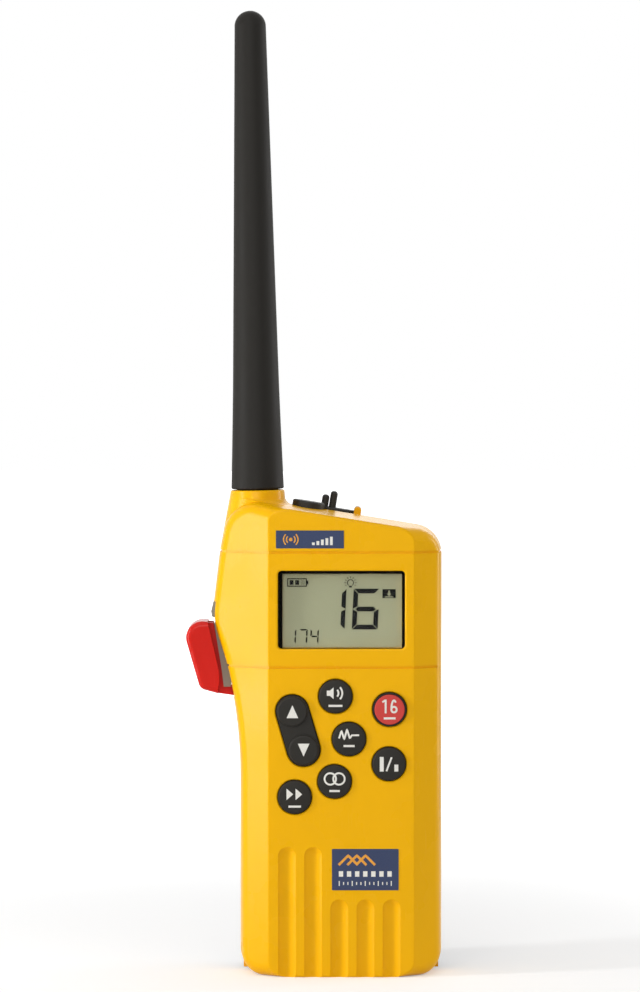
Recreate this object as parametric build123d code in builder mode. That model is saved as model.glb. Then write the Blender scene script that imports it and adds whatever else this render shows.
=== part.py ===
from build123d import *
from math import atan2, cos, degrees, radians, sin, tan
import os

os.makedirs("parts", exist_ok=True)

# Handheld VHF marine radio. Millimetres and degrees.
# X runs to the right of the front face, Y to the rear and Z up.
# The origin is the centre of the base.

# ---------------------------------------------------------------- body sizes
BODY_HALF_WIDTH = 35.2      # at the parting plane, where the mould halves meet
PARTING_Y = 1.0
FRONT_DEPTH = 20.0          # parting plane to front face
REAR_DEPTH = 21.0           # parting plane to rear face
DRAFT = 3.5                 # mould draft of every side wall
WALL = 2.4
CUT_OVERRUN = 5.0           # cutting shapes run this far past what they cut
TOP_Z = 160.7               # height of the sloping top on the centre line
TOP_SLOPE = 9.1             # the top falls to the right
JOINT_Z = 147.4             # the top cover meets the housings here
BASE_TRIM = 0.4             # the base is cut flat this far above the drafted outline
BASE_CORNER_R = 8.0
TOP_CORNER_R = 10.5
THROAT_CORNER_R = 12.5      # upper left, beside the antenna boss
NECK_R = 60.0
FACE_HALF_WIDTH = 25.2      # flat of the front face, between the long bevels
BEVEL_ANGLE = 35.0          # lean of the long bevels from the front face
BEVEL_EDGE_R = 5.0          # bevel to side wall
FACE_EDGE_R = 1.0           # front face to bevels, top and base
REAR_EDGE_R = 4.0
LIP_CHAMFER = 0.42          # each side of the joint line, leaving a fine groove
DECK = 3.0                  # thickness of the deck under the top cover
DECK_SLOT = (26.0, 12.0)    # cable opening in the deck
STYLE_GROOVE_Z = 107.6
STYLE_GROOVE_W = 0.85
STYLE_GROOVE_D = 0.5
STYLE_GROOVE_END_X = 33.4

# The left side swells outwards to carry the lever: (outboard of the side, height).
FLANK_START_Z = 68.0
FLANK = (3.5, 101.9)
SHOULDER = (8.35, 118.2)
CREST = (9.4, 128.0)
NECK_OUT = 7.1
TIP_OUT = 3.5

# ------------------------------------------------------------- seals and screws
SEAL_INSET = 1.1            # outer face of a seal inside the wall's outer face
SEAL_WIDTH = 0.9
SEAL_HALF_DEPTH = 0.7
SEAL_GAP = 0.05
TOP_SEAL_INSET = 1.0
TOP_SEAL_T = 0.9
TOP_SEAL_SQUEEZE = 0.1      # the clamped seal is this much thinner
SEAL_RING = (16.0, 10.0)    # round the battery contacts
SEAL_RING_W = 1.4
SCREW_R = 1.25
SCREW_HEAD_R = 2.3
SCREW_HEAD_T = 1.5
SCREW_GAP = 0.15
SCREW_RELIEF = 0.3          # blind holes run this far past a screw
UPPER_HEAD_DEPTH = 6.0      # screws' heads below the rear face
LOWER_HEAD_SINK = 0.1       # screws' heads below the bay's floor
BOSS_WALL = 1.6             # plastic round a screw
UPPER_SCREWS = [(-28.0, 137.5), (28.0, 137.5)]
LOWER_SCREWS = [(-24.5, 6.5), (24.5, 6.5)]     # under the battery pack
HOUSING_SCREW_REACH = 8.0   # into the front housing
COVER_SCREWS = [(-24.0, -8.0), (24.0, -8.0), (-24.0, 10.0), (24.0, 10.0)]
COVER_SCREW_REACH = 4.5
BOARD_SCREWS = [(-21.0, 53.5), (21.0, 53.5), (-21.0, 106.0), (21.0, 106.0)]
BOARD_SCREW_REACH = 3.5

# ------------------------------------------------------------- antenna sizes
ANTENNA_X = -29.12
ANTENNA_LEAN = 0.9          # leans to the left
BOSS_TOP_Z = 168.4
BOSS_R = 9.35
BOSS_FOOT_R = 12.3
BOSS_FILLET = 2.6
BOSS_FILLET_STEPS = 4
FLARE_SINK = 0.4            # the flare starts inside the boss's left side
BOSS_EDGE_R = 0.5
ANTENNA_GAP = 0.35          # whip above the boss
WHIP_LENGTH = 166.9
WHIP_BASE_R = 9.2
WHIP_SHOULDER_R = 8.1
WHIP_SHOULDER_H = 35.0
WHIP_TIP_R = 5.45
WHIP_WAIST = 0.48           # hollow of the shoulder below its foot
WHIP_WAIST_SHARE = 0.4      # of the shoulder's height
WHIP_TIP_FLAT = 0.6         # the tip is this much flatter than a ball
WHIP_EDGE_R = 0.6
CORE_R = 0.9
CORE_STOP = 13.9            # end of the core below the whip's tip
THREAD_R = 3.175            # quarter inch thread, outside
RUNNING_GAP = 0.06
FERRULE_R = 4.6
FERRULE_DEPTH = 6.7         # below the top of the boss
FERRULE_HOLD = 5.0          # moulded into the whip
FERRULE_PIN_R = 0.45
FERRULE_PIN_TIP = 4.5       # below the boss
FERRULE_PIN_POINT = 0.5     # length of the pin's point
FERRULE_ROOF = 1.5          # the bore ends here, above the socket
WELL_R = 5.1
WELL_DEPTH = 8.0
WELL_WALL_R = 7.4           # plastic round the well, inside the cover
WELL_FLOOR = 3.0
SOCKET_SHANK_R = 2.4
SOCKET_SHANK = 6.0
SOCKET_FLANGE = 1.0
INSULATOR_R = 1.9
SOCKET_TIP = 0.8            # top of the socket below the boss
SOCKET_TIP_BEVEL = 0.4
INSULATOR_TOP = 1.6         # below the boss
O_RING_R = 6.9
O_RING_WIRE_R = 0.8
O_RING_LIFT = 0.04          # over the boss
O_RING_SIDE_GAP = 0.15      # in its groove
O_RING_TOP_GAP = 0.1

# ------------------------------------------------------------- window and display
WINDOW_X = 0.08
WINDOW_Z = 127.5
WINDOW_W = 43.9
WINDOW_H = 27.0
WINDOW_CORNER_R = 1.3
WINDOW_SETBACK = 0.6        # pane behind the front face
WINDOW_RIM_R = 0.7
PANE_T = 1.4
PANE_GAP = 0.1              # all round the pane
PANE_BEVEL = 0.2
GASKET_T = 0.4
LEDGE_T = 1.2
SURROUND = (50.0, 32.0)     # thicker wall round the window
VIEW_X = 0.32               # centre of the display's visible area
VIEW_Z = 127.16
VIEW_W = 41.3
VIEW_H = 25.6
LCD_SIZE = (47.0, 33.0, 1.8)
BACKLIGHT_T = 2.0

# ------------------------------------------------------------- keys
KEY_R = 5.8
KEY_GAP = 0.25              # round a key in its hole
KEY_PROUD = 1.1
KEY_DOME = 0.35
KEY_EDGE_R = 0.7
KEY_FLANGE_R = 6.7
KEY_FLANGE_T = 1.0
KEY_TRAVEL = 0.8
KEY_SETBACK = 0.1           # flange behind the front wall
KEY_HOLE_BREAK = 0.35       # chamfer of the keys' holes
KEYS = {
    "key_volume": (-2.0, 97.6),
    "key_squelch": (2.7, 82.8),
    "key_power_level": (16.5, 74.2),
    "key_dual_watch": (-2.3, 68.1),
    "key_scan": (-16.1, 62.7),
}
CHANNEL_KEY = (16.7, 93.1)
CHANNEL_CAP_R = 5.2
CHANNEL_CAP_T = 1.0
CHANNEL_CAP_PROUD = 0.35
CHANNEL_EDGE_R = 0.2
CHANNEL_CAP_EDGE_R = 0.3
ROCKER_TOP = (-16.9, 92.4)
ROCKER_BOTTOM = (-13.0, 79.1)
ROCKER_PAD_R = 5.6
ROCKER_PAD_H = 0.9
ROCKER_PROUD = 0.5
ROCKER_EDGE_R = 0.3
ROCKER_PAD_STEP = 0.35      # pad inside the rocker's end
ROCKER_PAD_ROUND = 0.8      # share of the pad's height that its rim's rounding takes
ROCKER_SETBACK = 0.95       # flange behind the wall, so that the rocker can tilt
ROCKER_GAP = 0.35
MAT_T = 1.0
MAT_PAD_R = 4.6
MAT_SIZE = (48.0, 50.0)
MAT_CENTRE = (0.0, 80.5)
MAT_LOW_PAD = 1.0           # under the rocker
MAT_SLACK = 0.1             # pad behind a key, beyond the key's travel
MAT_CORNER_R = 3.0
MAT_POST_GAP = 0.4          # round the board's screw posts

# ------------------------------------------------------------- flutes
FLUTE_X = -18.8             # first flute
FLUTE_PITCH = 9.05
FLUTE_TOPS = [45.4, 45.4, 27.2, 27.2, 27.2]
FLUTE_W = 6.2
FLUTE_D = 1.3
FLUTE_BACKING = 1.2
SOUND_SLOT = (3.2, 1.2)     # one under each flute, through the base
SOUND_SLOT_Y = -14.2

# ------------------------------------------------------------- boards and sound
BOARD_T = 1.6
BOARD_W = 48.8
BOARD_FOOT_Z = 50.0         # lower edge of the main board
BOARD_HEAD_GAP = 2.4        # board to the deck
SHIELD_SIZE = (36.0, 54.0, 4.0)
SHIELD_CENTRE = (0.0, 84.0)
SHIELD_SHEET_T = 0.4
SHIELD_CORNER_R = 1.0
SPEAKER = (0.0, 29.5)
SPEAKER_R = 17.0
SPEAKER_FRAME_T = 3.0
SPEAKER_MAGNET_R = 9.0
SPEAKER_DEPTH = 8.0
SPEAKER_DISH = 2.2          # depth of the frame under the cone, at the magnet
SPEAKER_DISH_RIM = 1.2      # and at the rim
SPEAKER_BACK_RISE = 0.6     # back of the frame at the magnet
CONE_R = 14.5
CONE_T = 0.4
CONE_LIP = 0.5              # cone's edge held in the frame
CONE_RIM = 0.8              # back of the cone's edge behind the wall
CONE_CAP_R = 3.5            # dust cap
CONE_CAP_H = 1.0            # front of the dust cap behind the wall
CONE_CAP_FOOT = 1.6
CONE_NECK_R = 5.0
MIC = (14.0, -9.0)
MIC_R = 3.0
MIC_T = 2.4
MIC_EDGE_R = 0.3
MIC_PORT_R = 0.6

# ------------------------------------------------------------- top of the radio
BUTTON_X = -11.45
BUTTON_R = 5.67
BUTTON_GAP = 0.3
BUTTON_PROUD = 2.0
BUTTON_FLANGE_R = 6.8
BUTTON_FLANGE_T = 1.0
BUTTON_STEM_R = 1.8
BUTTON_STEM_END = 7.0       # below the ridge of the top
BUTTON_SETBACK = 0.55       # flange below the wall
BUTTON_EDGE_R = 0.7
POWER_SWITCH_W = 6.0
POWER_SWITCH_H = 1.6
POWER_PLUNGER_R = 1.6
POWER_PLUNGER_H = 2.4
TOP_BOARD_SIZE = (36.0, 24.0)
TOP_BOARD_CENTRE = (-2.5, 3.0)
TOP_BOARD_Z = 150.0
JACK_X = -1.2
JACK_Y = 9.0
JACK_R = 3.4                # body of the accessory socket
JACK_FLANGE_R = 4.2
JACK_BORE_R = 1.75          # takes a 3.5 mm plug
JACK_LENGTH = 7.6
JACK_FLANGE_DEPTH = 3.1     # top of the flange below the ridge, under the wall
FLAP_T = 1.8
FLAP_W = 8.0
FLAP_LEFT = 5.6             # flap end to the left of the socket
FLAP_RECESS = 1.0           # below the ridge of the top
FLAP_GAP = 0.1
FLAP_CORNER_R = 1.4
FLAP_EDGE_R = 0.5
FLAP_LIFT = 0.05            # strap above the floor of its recess
FLAP_NECK_T = 1.2
FLAP_NECK_GAP = 0.4         # strap's end to the hinge
FLAP_SPIGOT_R = 2.5
FLAP_SPIGOT_H = 1.0
FLAP_SPIGOT_GAP = 0.15
FLAP_SPIGOT_RELIEF = 0.2
EAR_W = 2.5
EAR_DEPTH = 6.0
EAR_ROOT = 0.6              # ears start inside the strap
EAR_FLAT = 0.2              # left at an ear's tip between its roundings
EARS = [(-5.9, 4.9), (-3.2, 6.5)]    # place, height above the sloping top
HINGE_X = 5.7
HINGE_H = 1.25              # pin above the slope
LUG_T = 1.8
LUG_HALF_LENGTH = 1.25
LUG_OFFSET = 3.6            # lugs' centres either side of the cover
LUG_SKIN = 0.5              # closes the pin's hole at the front
LUG_ROOT = 1.6              # lugs start this far inside the wall
NECK_GAP = 0.1              # neck to each lug
PIN_R = 0.6

# ------------------------------------------------------------- push to talk
LEVER_PIN = (-36.6, 98.3)
LEVER_PIN_R = 0.75
LEVER_HOOK_R = 1.6
LEVER_CAP_W = 17.0
LEVER_FLANGE_W = 10.0
LEVER_FLANGE_T = 1.3
POCKET_W = 12.4
POCKET_WALL = 2.2
POCKET_SPARE = 2.0
BOOT_GAP = 0.2              # boot to each side of the pocket
BOOT_RIM_W = 0.8            # raised strips beside the flanges
BOOT_PAD_W = 6.6
PTT_R = 2.5
PTT_GAP = 0.12
PTT_PLACE = 8.0             # up the lever's inner face, from its foot
PTT_LENGTH = 9.6
PTT_STEM_R = 1.7
PTT_HEAD = 4.6              # inner end of the button's wide part
PTT_CROWN_R = 1.2
PTT_SWITCH_GAP = 0.2        # plunger behind the pressed button
PTT_SWITCH_HALF_W = 4.0
PTT_SWITCH_Z = (111.0, 121.0)
PTT_RISER_Z = (109.0, 123.0)
PTT_RISER_T = 1.6
PTT_PLUNGER_R = 1.2
PTT_PLUNGER_L = 2.5
PTT_PLACE_TRAVEL = 1.2      # how far the lever pushes the button

# ------------------------------------------------------------- battery pack
BATTERY_TOP_Z = 92.0
BAY_GAP = 0.25
BAY_FLOOR = 2.2
PACK_WALL = 1.4
PACK_SPLIT_Y = 17.0
PACK_SEAT_GAP = 0.15        # case behind the bay's floor
PACK_EDGE_R = 0.3
CHARGE_POCKET = (18.0, 13.0)
CHARGE_POCKET_PLACE = (19.5, 82.0)
CHARGE_POCKET_R = 1.5
INSERT_R = 3.2
INSERT_FRONT_Y = -3.5
INSERT_BACK_Y = 2.5
INSERT_RELIEF = 0.7
CELL_R = 7.2
CELL_LENGTH = 50.0
CELL_COUNT = 4
CELL_PITCH = 14.9
CELL_Z = 17.5
CELL_GAP = 0.1              # cells to the case's front wall
PACK_SCREW_Z = 84.5
PACK_SCREW_R = 2.0
PACK_KNOB_R = 5.5
PACK_KNOB_T = 3.2
PACK_KNOB_WELL_D = 4.2
KNOB_GROOVES = 12
KNOB_GROOVE_R = 0.7
KNOB_GROOVE_OUT = 0.35      # grooves' centres outside the rim
KNOB_SLOT = 1.6             # width and depth of the coin slot
KNOB_POINT = 0.5
PACK_WASHER_T = 0.8
CONTACT_X = -15.5
CONTACT_PITCH = 5.0
CONTACT_COUNT = 3
CONTACT_SIZE = (2.6, 6.0)
CONTACT_PIN_R = 0.8
CONTACT_PIN_GAP = 0.05      # spring pins to the terminals
CONTACT_BLOCK_MARGIN = 2.5  # past the outer pins
CONTACT_BLOCK_T = 5.0
CONTACT_BLOCK_HALF_H = 4.0
CONTACT_BLOCK_EDGE_R = 1.0
TERMINAL_T = 0.5
CONTACT_SEAL_T = 1.2
CONTACT_SEAL_PROUD = 0.1    # out of its groove, towards the pack
PEG_R = 1.9
PEG_LENGTH = 1.6
PEGS = [(-26.0, 84.0), (26.0, 84.0)]

# ------------------------------------------------------------- belt clip
CLIP_Z = 67.0               # hinge line
CLIP_STANDOFF = 4.0         # hinge line behind the pack
CLIP_W = 16.0
CLIP_T = 1.8
CLIP_GAP = 5.0              # belt space
CLIP_TONGUE_Z = 15.0
CLIP_THUMB_Z = 76.0
CLIP_BASE = (19.0, 18.0, 1.6)
CLIP_BASE_Z = 69.0
CLIP_EAR_T = 1.8
CLIP_BARREL_R = 2.2
CLIP_PIN_R = 1.0
CLIP_SCREW_Z = 74.0
CLIP_SCREW_X = 6.0
CLIP_SCREW_R = 1.0
CLIP_HEAD_R = 1.9
CLIP_SCREW_REACH = 4.0
CLIP_SPRING_HALF = 3.3
CLIP_SPRING_R = 1.65
CLIP_SPRING_WIRE_R = 0.3
CLIP_SPRING_TURNS = 4

# ------------------------------------------------------------- lanyard eye
EYE_X = 22.0
EYE_Z = 118.0
EYE_R = 2.0
EYE_LENGTH = 5.0
EYE_WALL = 2.2
EYE_STANDOFF = 2.6          # bore's axis behind the rear face

# ---------------------------------------------------------------- derived places
FRONT_Y = PARTING_Y - FRONT_DEPTH
REAR_Y = PARTING_Y + REAR_DEPTH
INNER_FRONT_Y = FRONT_Y + WALL
BEVEL_RISE = tan(radians(BEVEL_ANGLE))
DRAFT_RISE = tan(radians(DRAFT))
OUTLINE_FOOT_Z = -max(FRONT_DEPTH, REAR_DEPTH) * DRAFT_RISE - BASE_TRIM
DECK_Z = JOINT_Z - DECK
BOARD_SIZE = (BOARD_W, DECK_Z - BOARD_HEAD_GAP - BOARD_FOOT_Z)
BAY_TOP_Z = BATTERY_TOP_Z + BAY_GAP
BAY_Y = PARTING_Y + BAY_FLOOR
PACK_FRONT_Y = BAY_Y + PACK_SEAT_GAP
ALL = 400.0                 # larger than the radio, for clipping


def top_height(x):
    """Height of the sloping top above a place on the parting plane."""
    return TOP_Z - x * tan(radians(TOP_SLOPE))


def facing_front(y):
    """Plane at depth y, drawn as seen from the front; it extrudes towards the front."""
    return Plane.XZ.offset(-y)


def on_top(x, y, height=0.0):
    """Plane along the sloping top, its origin at a place on it, lifted by height."""
    slope = radians(TOP_SLOPE)
    up = Vector(sin(slope), 0, cos(slope))
    return Plane(Vector(x, y, top_height(x)) + up * height, (cos(slope), 0, -sin(slope)), up)


def body_outline(inset):
    """Outline of the body at the parting plane, moved inwards by inset."""
    side = BODY_HALF_WIDTH
    tip = (-side - TIP_OUT, top_height(-side - TIP_OUT))
    shoulder_end = (side, top_height(side))
    with BuildSketch() as outline:
        with BuildLine():
            left_side = Line((-side, OUTLINE_FOOT_Z), (-side, FLANK_START_Z))
            flank = TangentArc(left_side @ 1, (-side - FLANK[0], FLANK[1]), tangent=(0, 1))
            swell = TangentArc(flank @ 1, (-side - SHOULDER[0], SHOULDER[1]), tangent=flank % 1)
            crest = TangentArc(swell @ 1, (-side - CREST[0], CREST[1]), tangent=swell % 1)
            neck = Line(crest @ 1, (-side - NECK_OUT, JOINT_Z))
            throat = Line(neck @ 1, tip)
            top = Line(throat @ 1, shoulder_end)
            right_side = Line(top @ 1, (side, OUTLINE_FOOT_Z))
            Line(right_side @ 1, left_side @ 0)
        make_face()
        fillet(outline.vertices().sort_by_distance(shoulder_end)[0], TOP_CORNER_R)
        fillet(outline.vertices().sort_by_distance(tip)[0], THROAT_CORNER_R)
        fillet(outline.vertices().sort_by_distance((-side - NECK_OUT, JOINT_Z))[0], NECK_R)
        if inset > 0:
            offset(amount=-inset, mode=Mode.REPLACE)
    return outline.sketch


def half_form(inset, depth):
    """One half of the body's form: to the front of the parting plane if depth is positive."""
    with BuildPart() as half:
        with BuildSketch(facing_front(PARTING_Y)):
            add(body_outline(inset))
        extrude(amount=depth, taper=DRAFT)
        split(bisect_by=Plane.XY.offset(inset), keep=Keep.TOP)
        foot_edges = half.faces().sort_by(Axis.Z)[0].edges().sort_by(Axis.X)
        fillet([foot_edges[0], foot_edges[-1]], BASE_CORNER_R - inset)
    return half.part


def body_form(inset):
    """The body without its antenna boss, drafted both ways and bevelled at the front."""
    bevel_shift = inset / cos(radians(BEVEL_ANGLE))
    reach = 30.0
    with BuildPart() as form:
        add(half_form(inset, FRONT_DEPTH - inset))
        with BuildSketch(Plane.XY.offset(OUTLINE_FOOT_Z)):
            for side in (-1, 1):
                start_x = side * (FACE_HALF_WIDTH - CUT_OVERRUN)
                end_x = side * (FACE_HALF_WIDTH + reach)
                start_y = FRONT_Y + bevel_shift - CUT_OVERRUN * BEVEL_RISE
                end_y = FRONT_Y + bevel_shift + reach * BEVEL_RISE
                with BuildLine():
                    Polyline(
                        (start_x, FRONT_Y - CUT_OVERRUN),
                        (start_x, start_y),
                        (end_x, end_y),
                        (end_x, FRONT_Y - CUT_OVERRUN),
                        close=True,
                    )
                make_face()
        extrude(amount=ALL, mode=Mode.SUBTRACT)
        add(half_form(inset, -(REAR_DEPTH - inset)))
    return form.part


def is_bevel(face):
    """True for the two long bevels of the front."""
    normal = face.normal_at()
    return abs(abs(normal.X) - sin(radians(BEVEL_ANGLE))) < 0.001 and normal.Y < -0.5


def outside_band(low_z, high_z, depth):
    """Everything between two heights that is less than depth inside the body's surface."""
    with BuildPart() as band:
        with BuildSketch(Plane.XY.offset(low_z)):
            Rectangle(ALL, ALL)
        extrude(amount=high_z - low_z)
        add(body_form(depth), mode=Mode.SUBTRACT)
    return band.part


def boxed(low, high):
    """A plain block between two opposite corners."""
    size = [high[i] - low[i] for i in range(3)]
    centre = tuple((high[i] + low[i]) / 2 for i in range(3))
    with BuildPart() as block:
        with Locations(centre):
            Box(*size)
    return block.part


# ---------------------------------------------------------------- the outer form
with BuildPart() as body:
    add(body_form(0.0))
    bevels = body.faces().filter_by(is_bevel)
    fillet([e for e in bevels.edges() if e.center().Y > FRONT_Y + 0.1], BEVEL_EDGE_R)
    fillet(body.faces().sort_by(Axis.Y)[0].edges(), FACE_EDGE_R)
    fillet(body.faces().sort_by(Axis.Y)[-1].edges(), REAR_EDGE_R)

ANTENNA_BASE = Vector(ANTENNA_X, PARTING_Y, BOSS_TOP_Z)
ANTENNA_UP = Vector(-sin(radians(ANTENNA_LEAN)), 0, cos(radians(ANTENNA_LEAN)))
ANTENNA_OUT = Vector(cos(radians(ANTENNA_LEAN)), 0, sin(radians(ANTENNA_LEAN)))
ANTENNA_AXIS = Axis(ANTENNA_BASE, ANTENNA_UP)
# Drawn radius first, then height above the boss.
ANTENNA_SECTION = Plane(ANTENNA_BASE, x_dir=ANTENNA_OUT, z_dir=(0, -1, 0))


def at_antenna(height):
    """Plane square to the antenna's axis, height above the boss; it extrudes upwards."""
    return Plane(ANTENNA_BASE + ANTENNA_UP * height, x_dir=ANTENNA_OUT, z_dir=ANTENNA_UP)


# The inside faces that both housings and the cover share.
hollow = body_form(WALL)

# The lever's pocket is open to the left; its floor steps in at the foot for the hook.
POCKET_OUTLINE = [
    (-60.0, 95.8),
    (-34.6, 95.8),
    (-34.9, 101.5),
    (-37.6, 103.5),
    (-38.6, 129.6),
    (-60.0, 129.6),
]
with BuildPart() as lever_pocket:
    with BuildSketch(facing_front(PARTING_Y + POCKET_W / 2)):
        with BuildLine():
            Polyline(*POCKET_OUTLINE, close=True)
        make_face()
    extrude(amount=POCKET_W)

with BuildPart() as pocket_shell:
    with BuildSketch(facing_front(PARTING_Y + POCKET_W / 2 + POCKET_WALL)):
        with BuildLine():
            Polyline(*POCKET_OUTLINE, close=True)
        make_face()
        offset(amount=POCKET_WALL, kind=Kind.INTERSECTION, mode=Mode.REPLACE)
    extrude(amount=POCKET_W + 2 * POCKET_WALL)


def seal_band(inset, width):
    """Ring sketch that runs inset inside the edge of the housings' meeting face."""
    with BuildSketch() as ring:
        for amount, mode in ((inset, Mode.ADD), (inset + width, Mode.SUBTRACT)):
            with BuildSketch(mode=Mode.PRIVATE) as edge:
                add(body_outline(0.0))
                with Locations((0, JOINT_Z)):
                    Rectangle(ALL, ALL, align=(Align.CENTER, Align.MIN), mode=Mode.SUBTRACT)
                Rectangle(ALL, ALL, align=(Align.CENTER, Align.MAX), mode=Mode.SUBTRACT)
                with BuildLine():
                    Polyline(*POCKET_OUTLINE, close=True)
                make_face(mode=Mode.SUBTRACT)
                offset(amount=-amount, mode=Mode.REPLACE)
            add(edge.sketch, mode=mode)
    return ring.sketch


# ---------------------------------------------------------------- push to talk places
# The lever's inner face is a straight line that leans out from its foot to its top.
LEVER_FACE = ((-42.5, 105.3), (-46.2, 121.3))
face_start = Vector(*LEVER_FACE[0])
face_run = (Vector(*LEVER_FACE[1]) - face_start).normalized()
press_x = face_start.X + face_run.X * PTT_PLACE
press_z = face_start.Y + face_run.Y * PTT_PLACE
PRESS_DIRECTION = Vector(face_run.Y, 0, -face_run.X)
PRESS_POINT = Vector(press_x, PARTING_Y, press_z)


def along_press(distance):
    """Plane square to the button's travel, distance inwards from the lever's inner face."""
    return Plane(PRESS_POINT + PRESS_DIRECTION * distance, (0, 1, 0), PRESS_DIRECTION)


# Way through the pocket's floor for the talk button's stem.
with BuildPart() as stem_way:
    with BuildSketch(along_press(0)):
        Circle(PTT_STEM_R + PTT_GAP)
    extrude(amount=PTT_LENGTH + POCKET_WALL)

# ---------------------------------------------------------------- window sizes
POCKET_FLOOR_Y = FRONT_Y + WINDOW_SETBACK + PANE_T + GASKET_T
LEDGE_Y = POCKET_FLOOR_Y + LEDGE_T
PANE_FRONT_Y = FRONT_Y + WINDOW_SETBACK
PANE_BACK_Y = PANE_FRONT_Y + PANE_T

# ---------------------------------------------------------------- key sizes
KEY_FLANGE_Y = INNER_FRONT_Y + KEY_SETBACK + KEY_FLANGE_T          # rear face of a key's flange
KEY_HEIGHT = KEY_FLANGE_Y - FRONT_Y + KEY_PROUD - KEY_DOME
BOARD_Y = LEDGE_Y + LCD_SIZE[2] + BACKLIGHT_T              # front face of the main board
MAT_Y = BOARD_Y - MAT_T
ROCKER_CENTRE = ((ROCKER_TOP[0] + ROCKER_BOTTOM[0]) / 2, (ROCKER_TOP[1] + ROCKER_BOTTOM[1]) / 2)
ROCKER_RUN = Vector(ROCKER_TOP[0] - ROCKER_BOTTOM[0], ROCKER_TOP[1] - ROCKER_BOTTOM[1])
ROCKER_TURN = degrees(atan2(ROCKER_RUN.Y, ROCKER_RUN.X))

# ---------------------------------------------------------------- flute sizes
FLUTE_TOOL_R = (FLUTE_W**2 / 4 + FLUTE_D**2) / (2 * FLUTE_D)
FLUTE_AXIS_Y = FRONT_Y + FLUTE_D - FLUTE_TOOL_R
FLUTES = [(FLUTE_X + i * FLUTE_PITCH, top) for i, top in enumerate(FLUTE_TOPS)]

# ---------------------------------------------------------------- front housing
with BuildPart() as front_hollow:
    add(hollow)
    split(bisect_by=facing_front(PARTING_Y), keep=Keep.TOP)
    split(bisect_by=Plane.XY.offset(DECK_Z), keep=Keep.BOTTOM)
    add(pocket_shell.part, mode=Mode.SUBTRACT)
    # Thicker wall round the window.
    with BuildSketch(facing_front(LEDGE_Y)):
        with Locations((WINDOW_X, WINDOW_Z)):
            Rectangle(*SURROUND)
    extrude(amount=WALL, mode=Mode.SUBTRACT)
    # Thicker wall behind the flutes.
    with BuildSketch(facing_front(INNER_FRONT_Y + FLUTE_BACKING)):
        with Locations((FLUTES[2][0], WALL)):
            backing_w = FLUTES[-1][0] - FLUTES[0][0] + FLUTE_W + 3
            Rectangle(backing_w, FLUTE_TOPS[0], align=(Align.CENTER, Align.MIN))
    extrude(amount=WALL, mode=Mode.SUBTRACT)
    # Screw posts, which run back from the front wall.
    with BuildSketch(facing_front(PARTING_Y)):
        with Locations(*UPPER_SCREWS, *LOWER_SCREWS):
            Circle(SCREW_R + BOSS_WALL)
    extrude(amount=FRONT_DEPTH, mode=Mode.SUBTRACT)
    with BuildSketch(facing_front(BOARD_Y)):
        with Locations(*BOARD_SCREWS):
            Circle(SCREW_R + BOSS_WALL)
    extrude(amount=WALL + CUT_OVERRUN, mode=Mode.SUBTRACT)

with BuildPart() as style_groove:
    half = STYLE_GROOVE_W / 2
    add(outside_band(STYLE_GROOVE_Z - half, STYLE_GROOVE_Z + half, STYLE_GROOVE_D))
    split(bisect_by=Plane.YZ.offset(STYLE_GROOVE_END_X), keep=Keep.BOTTOM)

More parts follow.
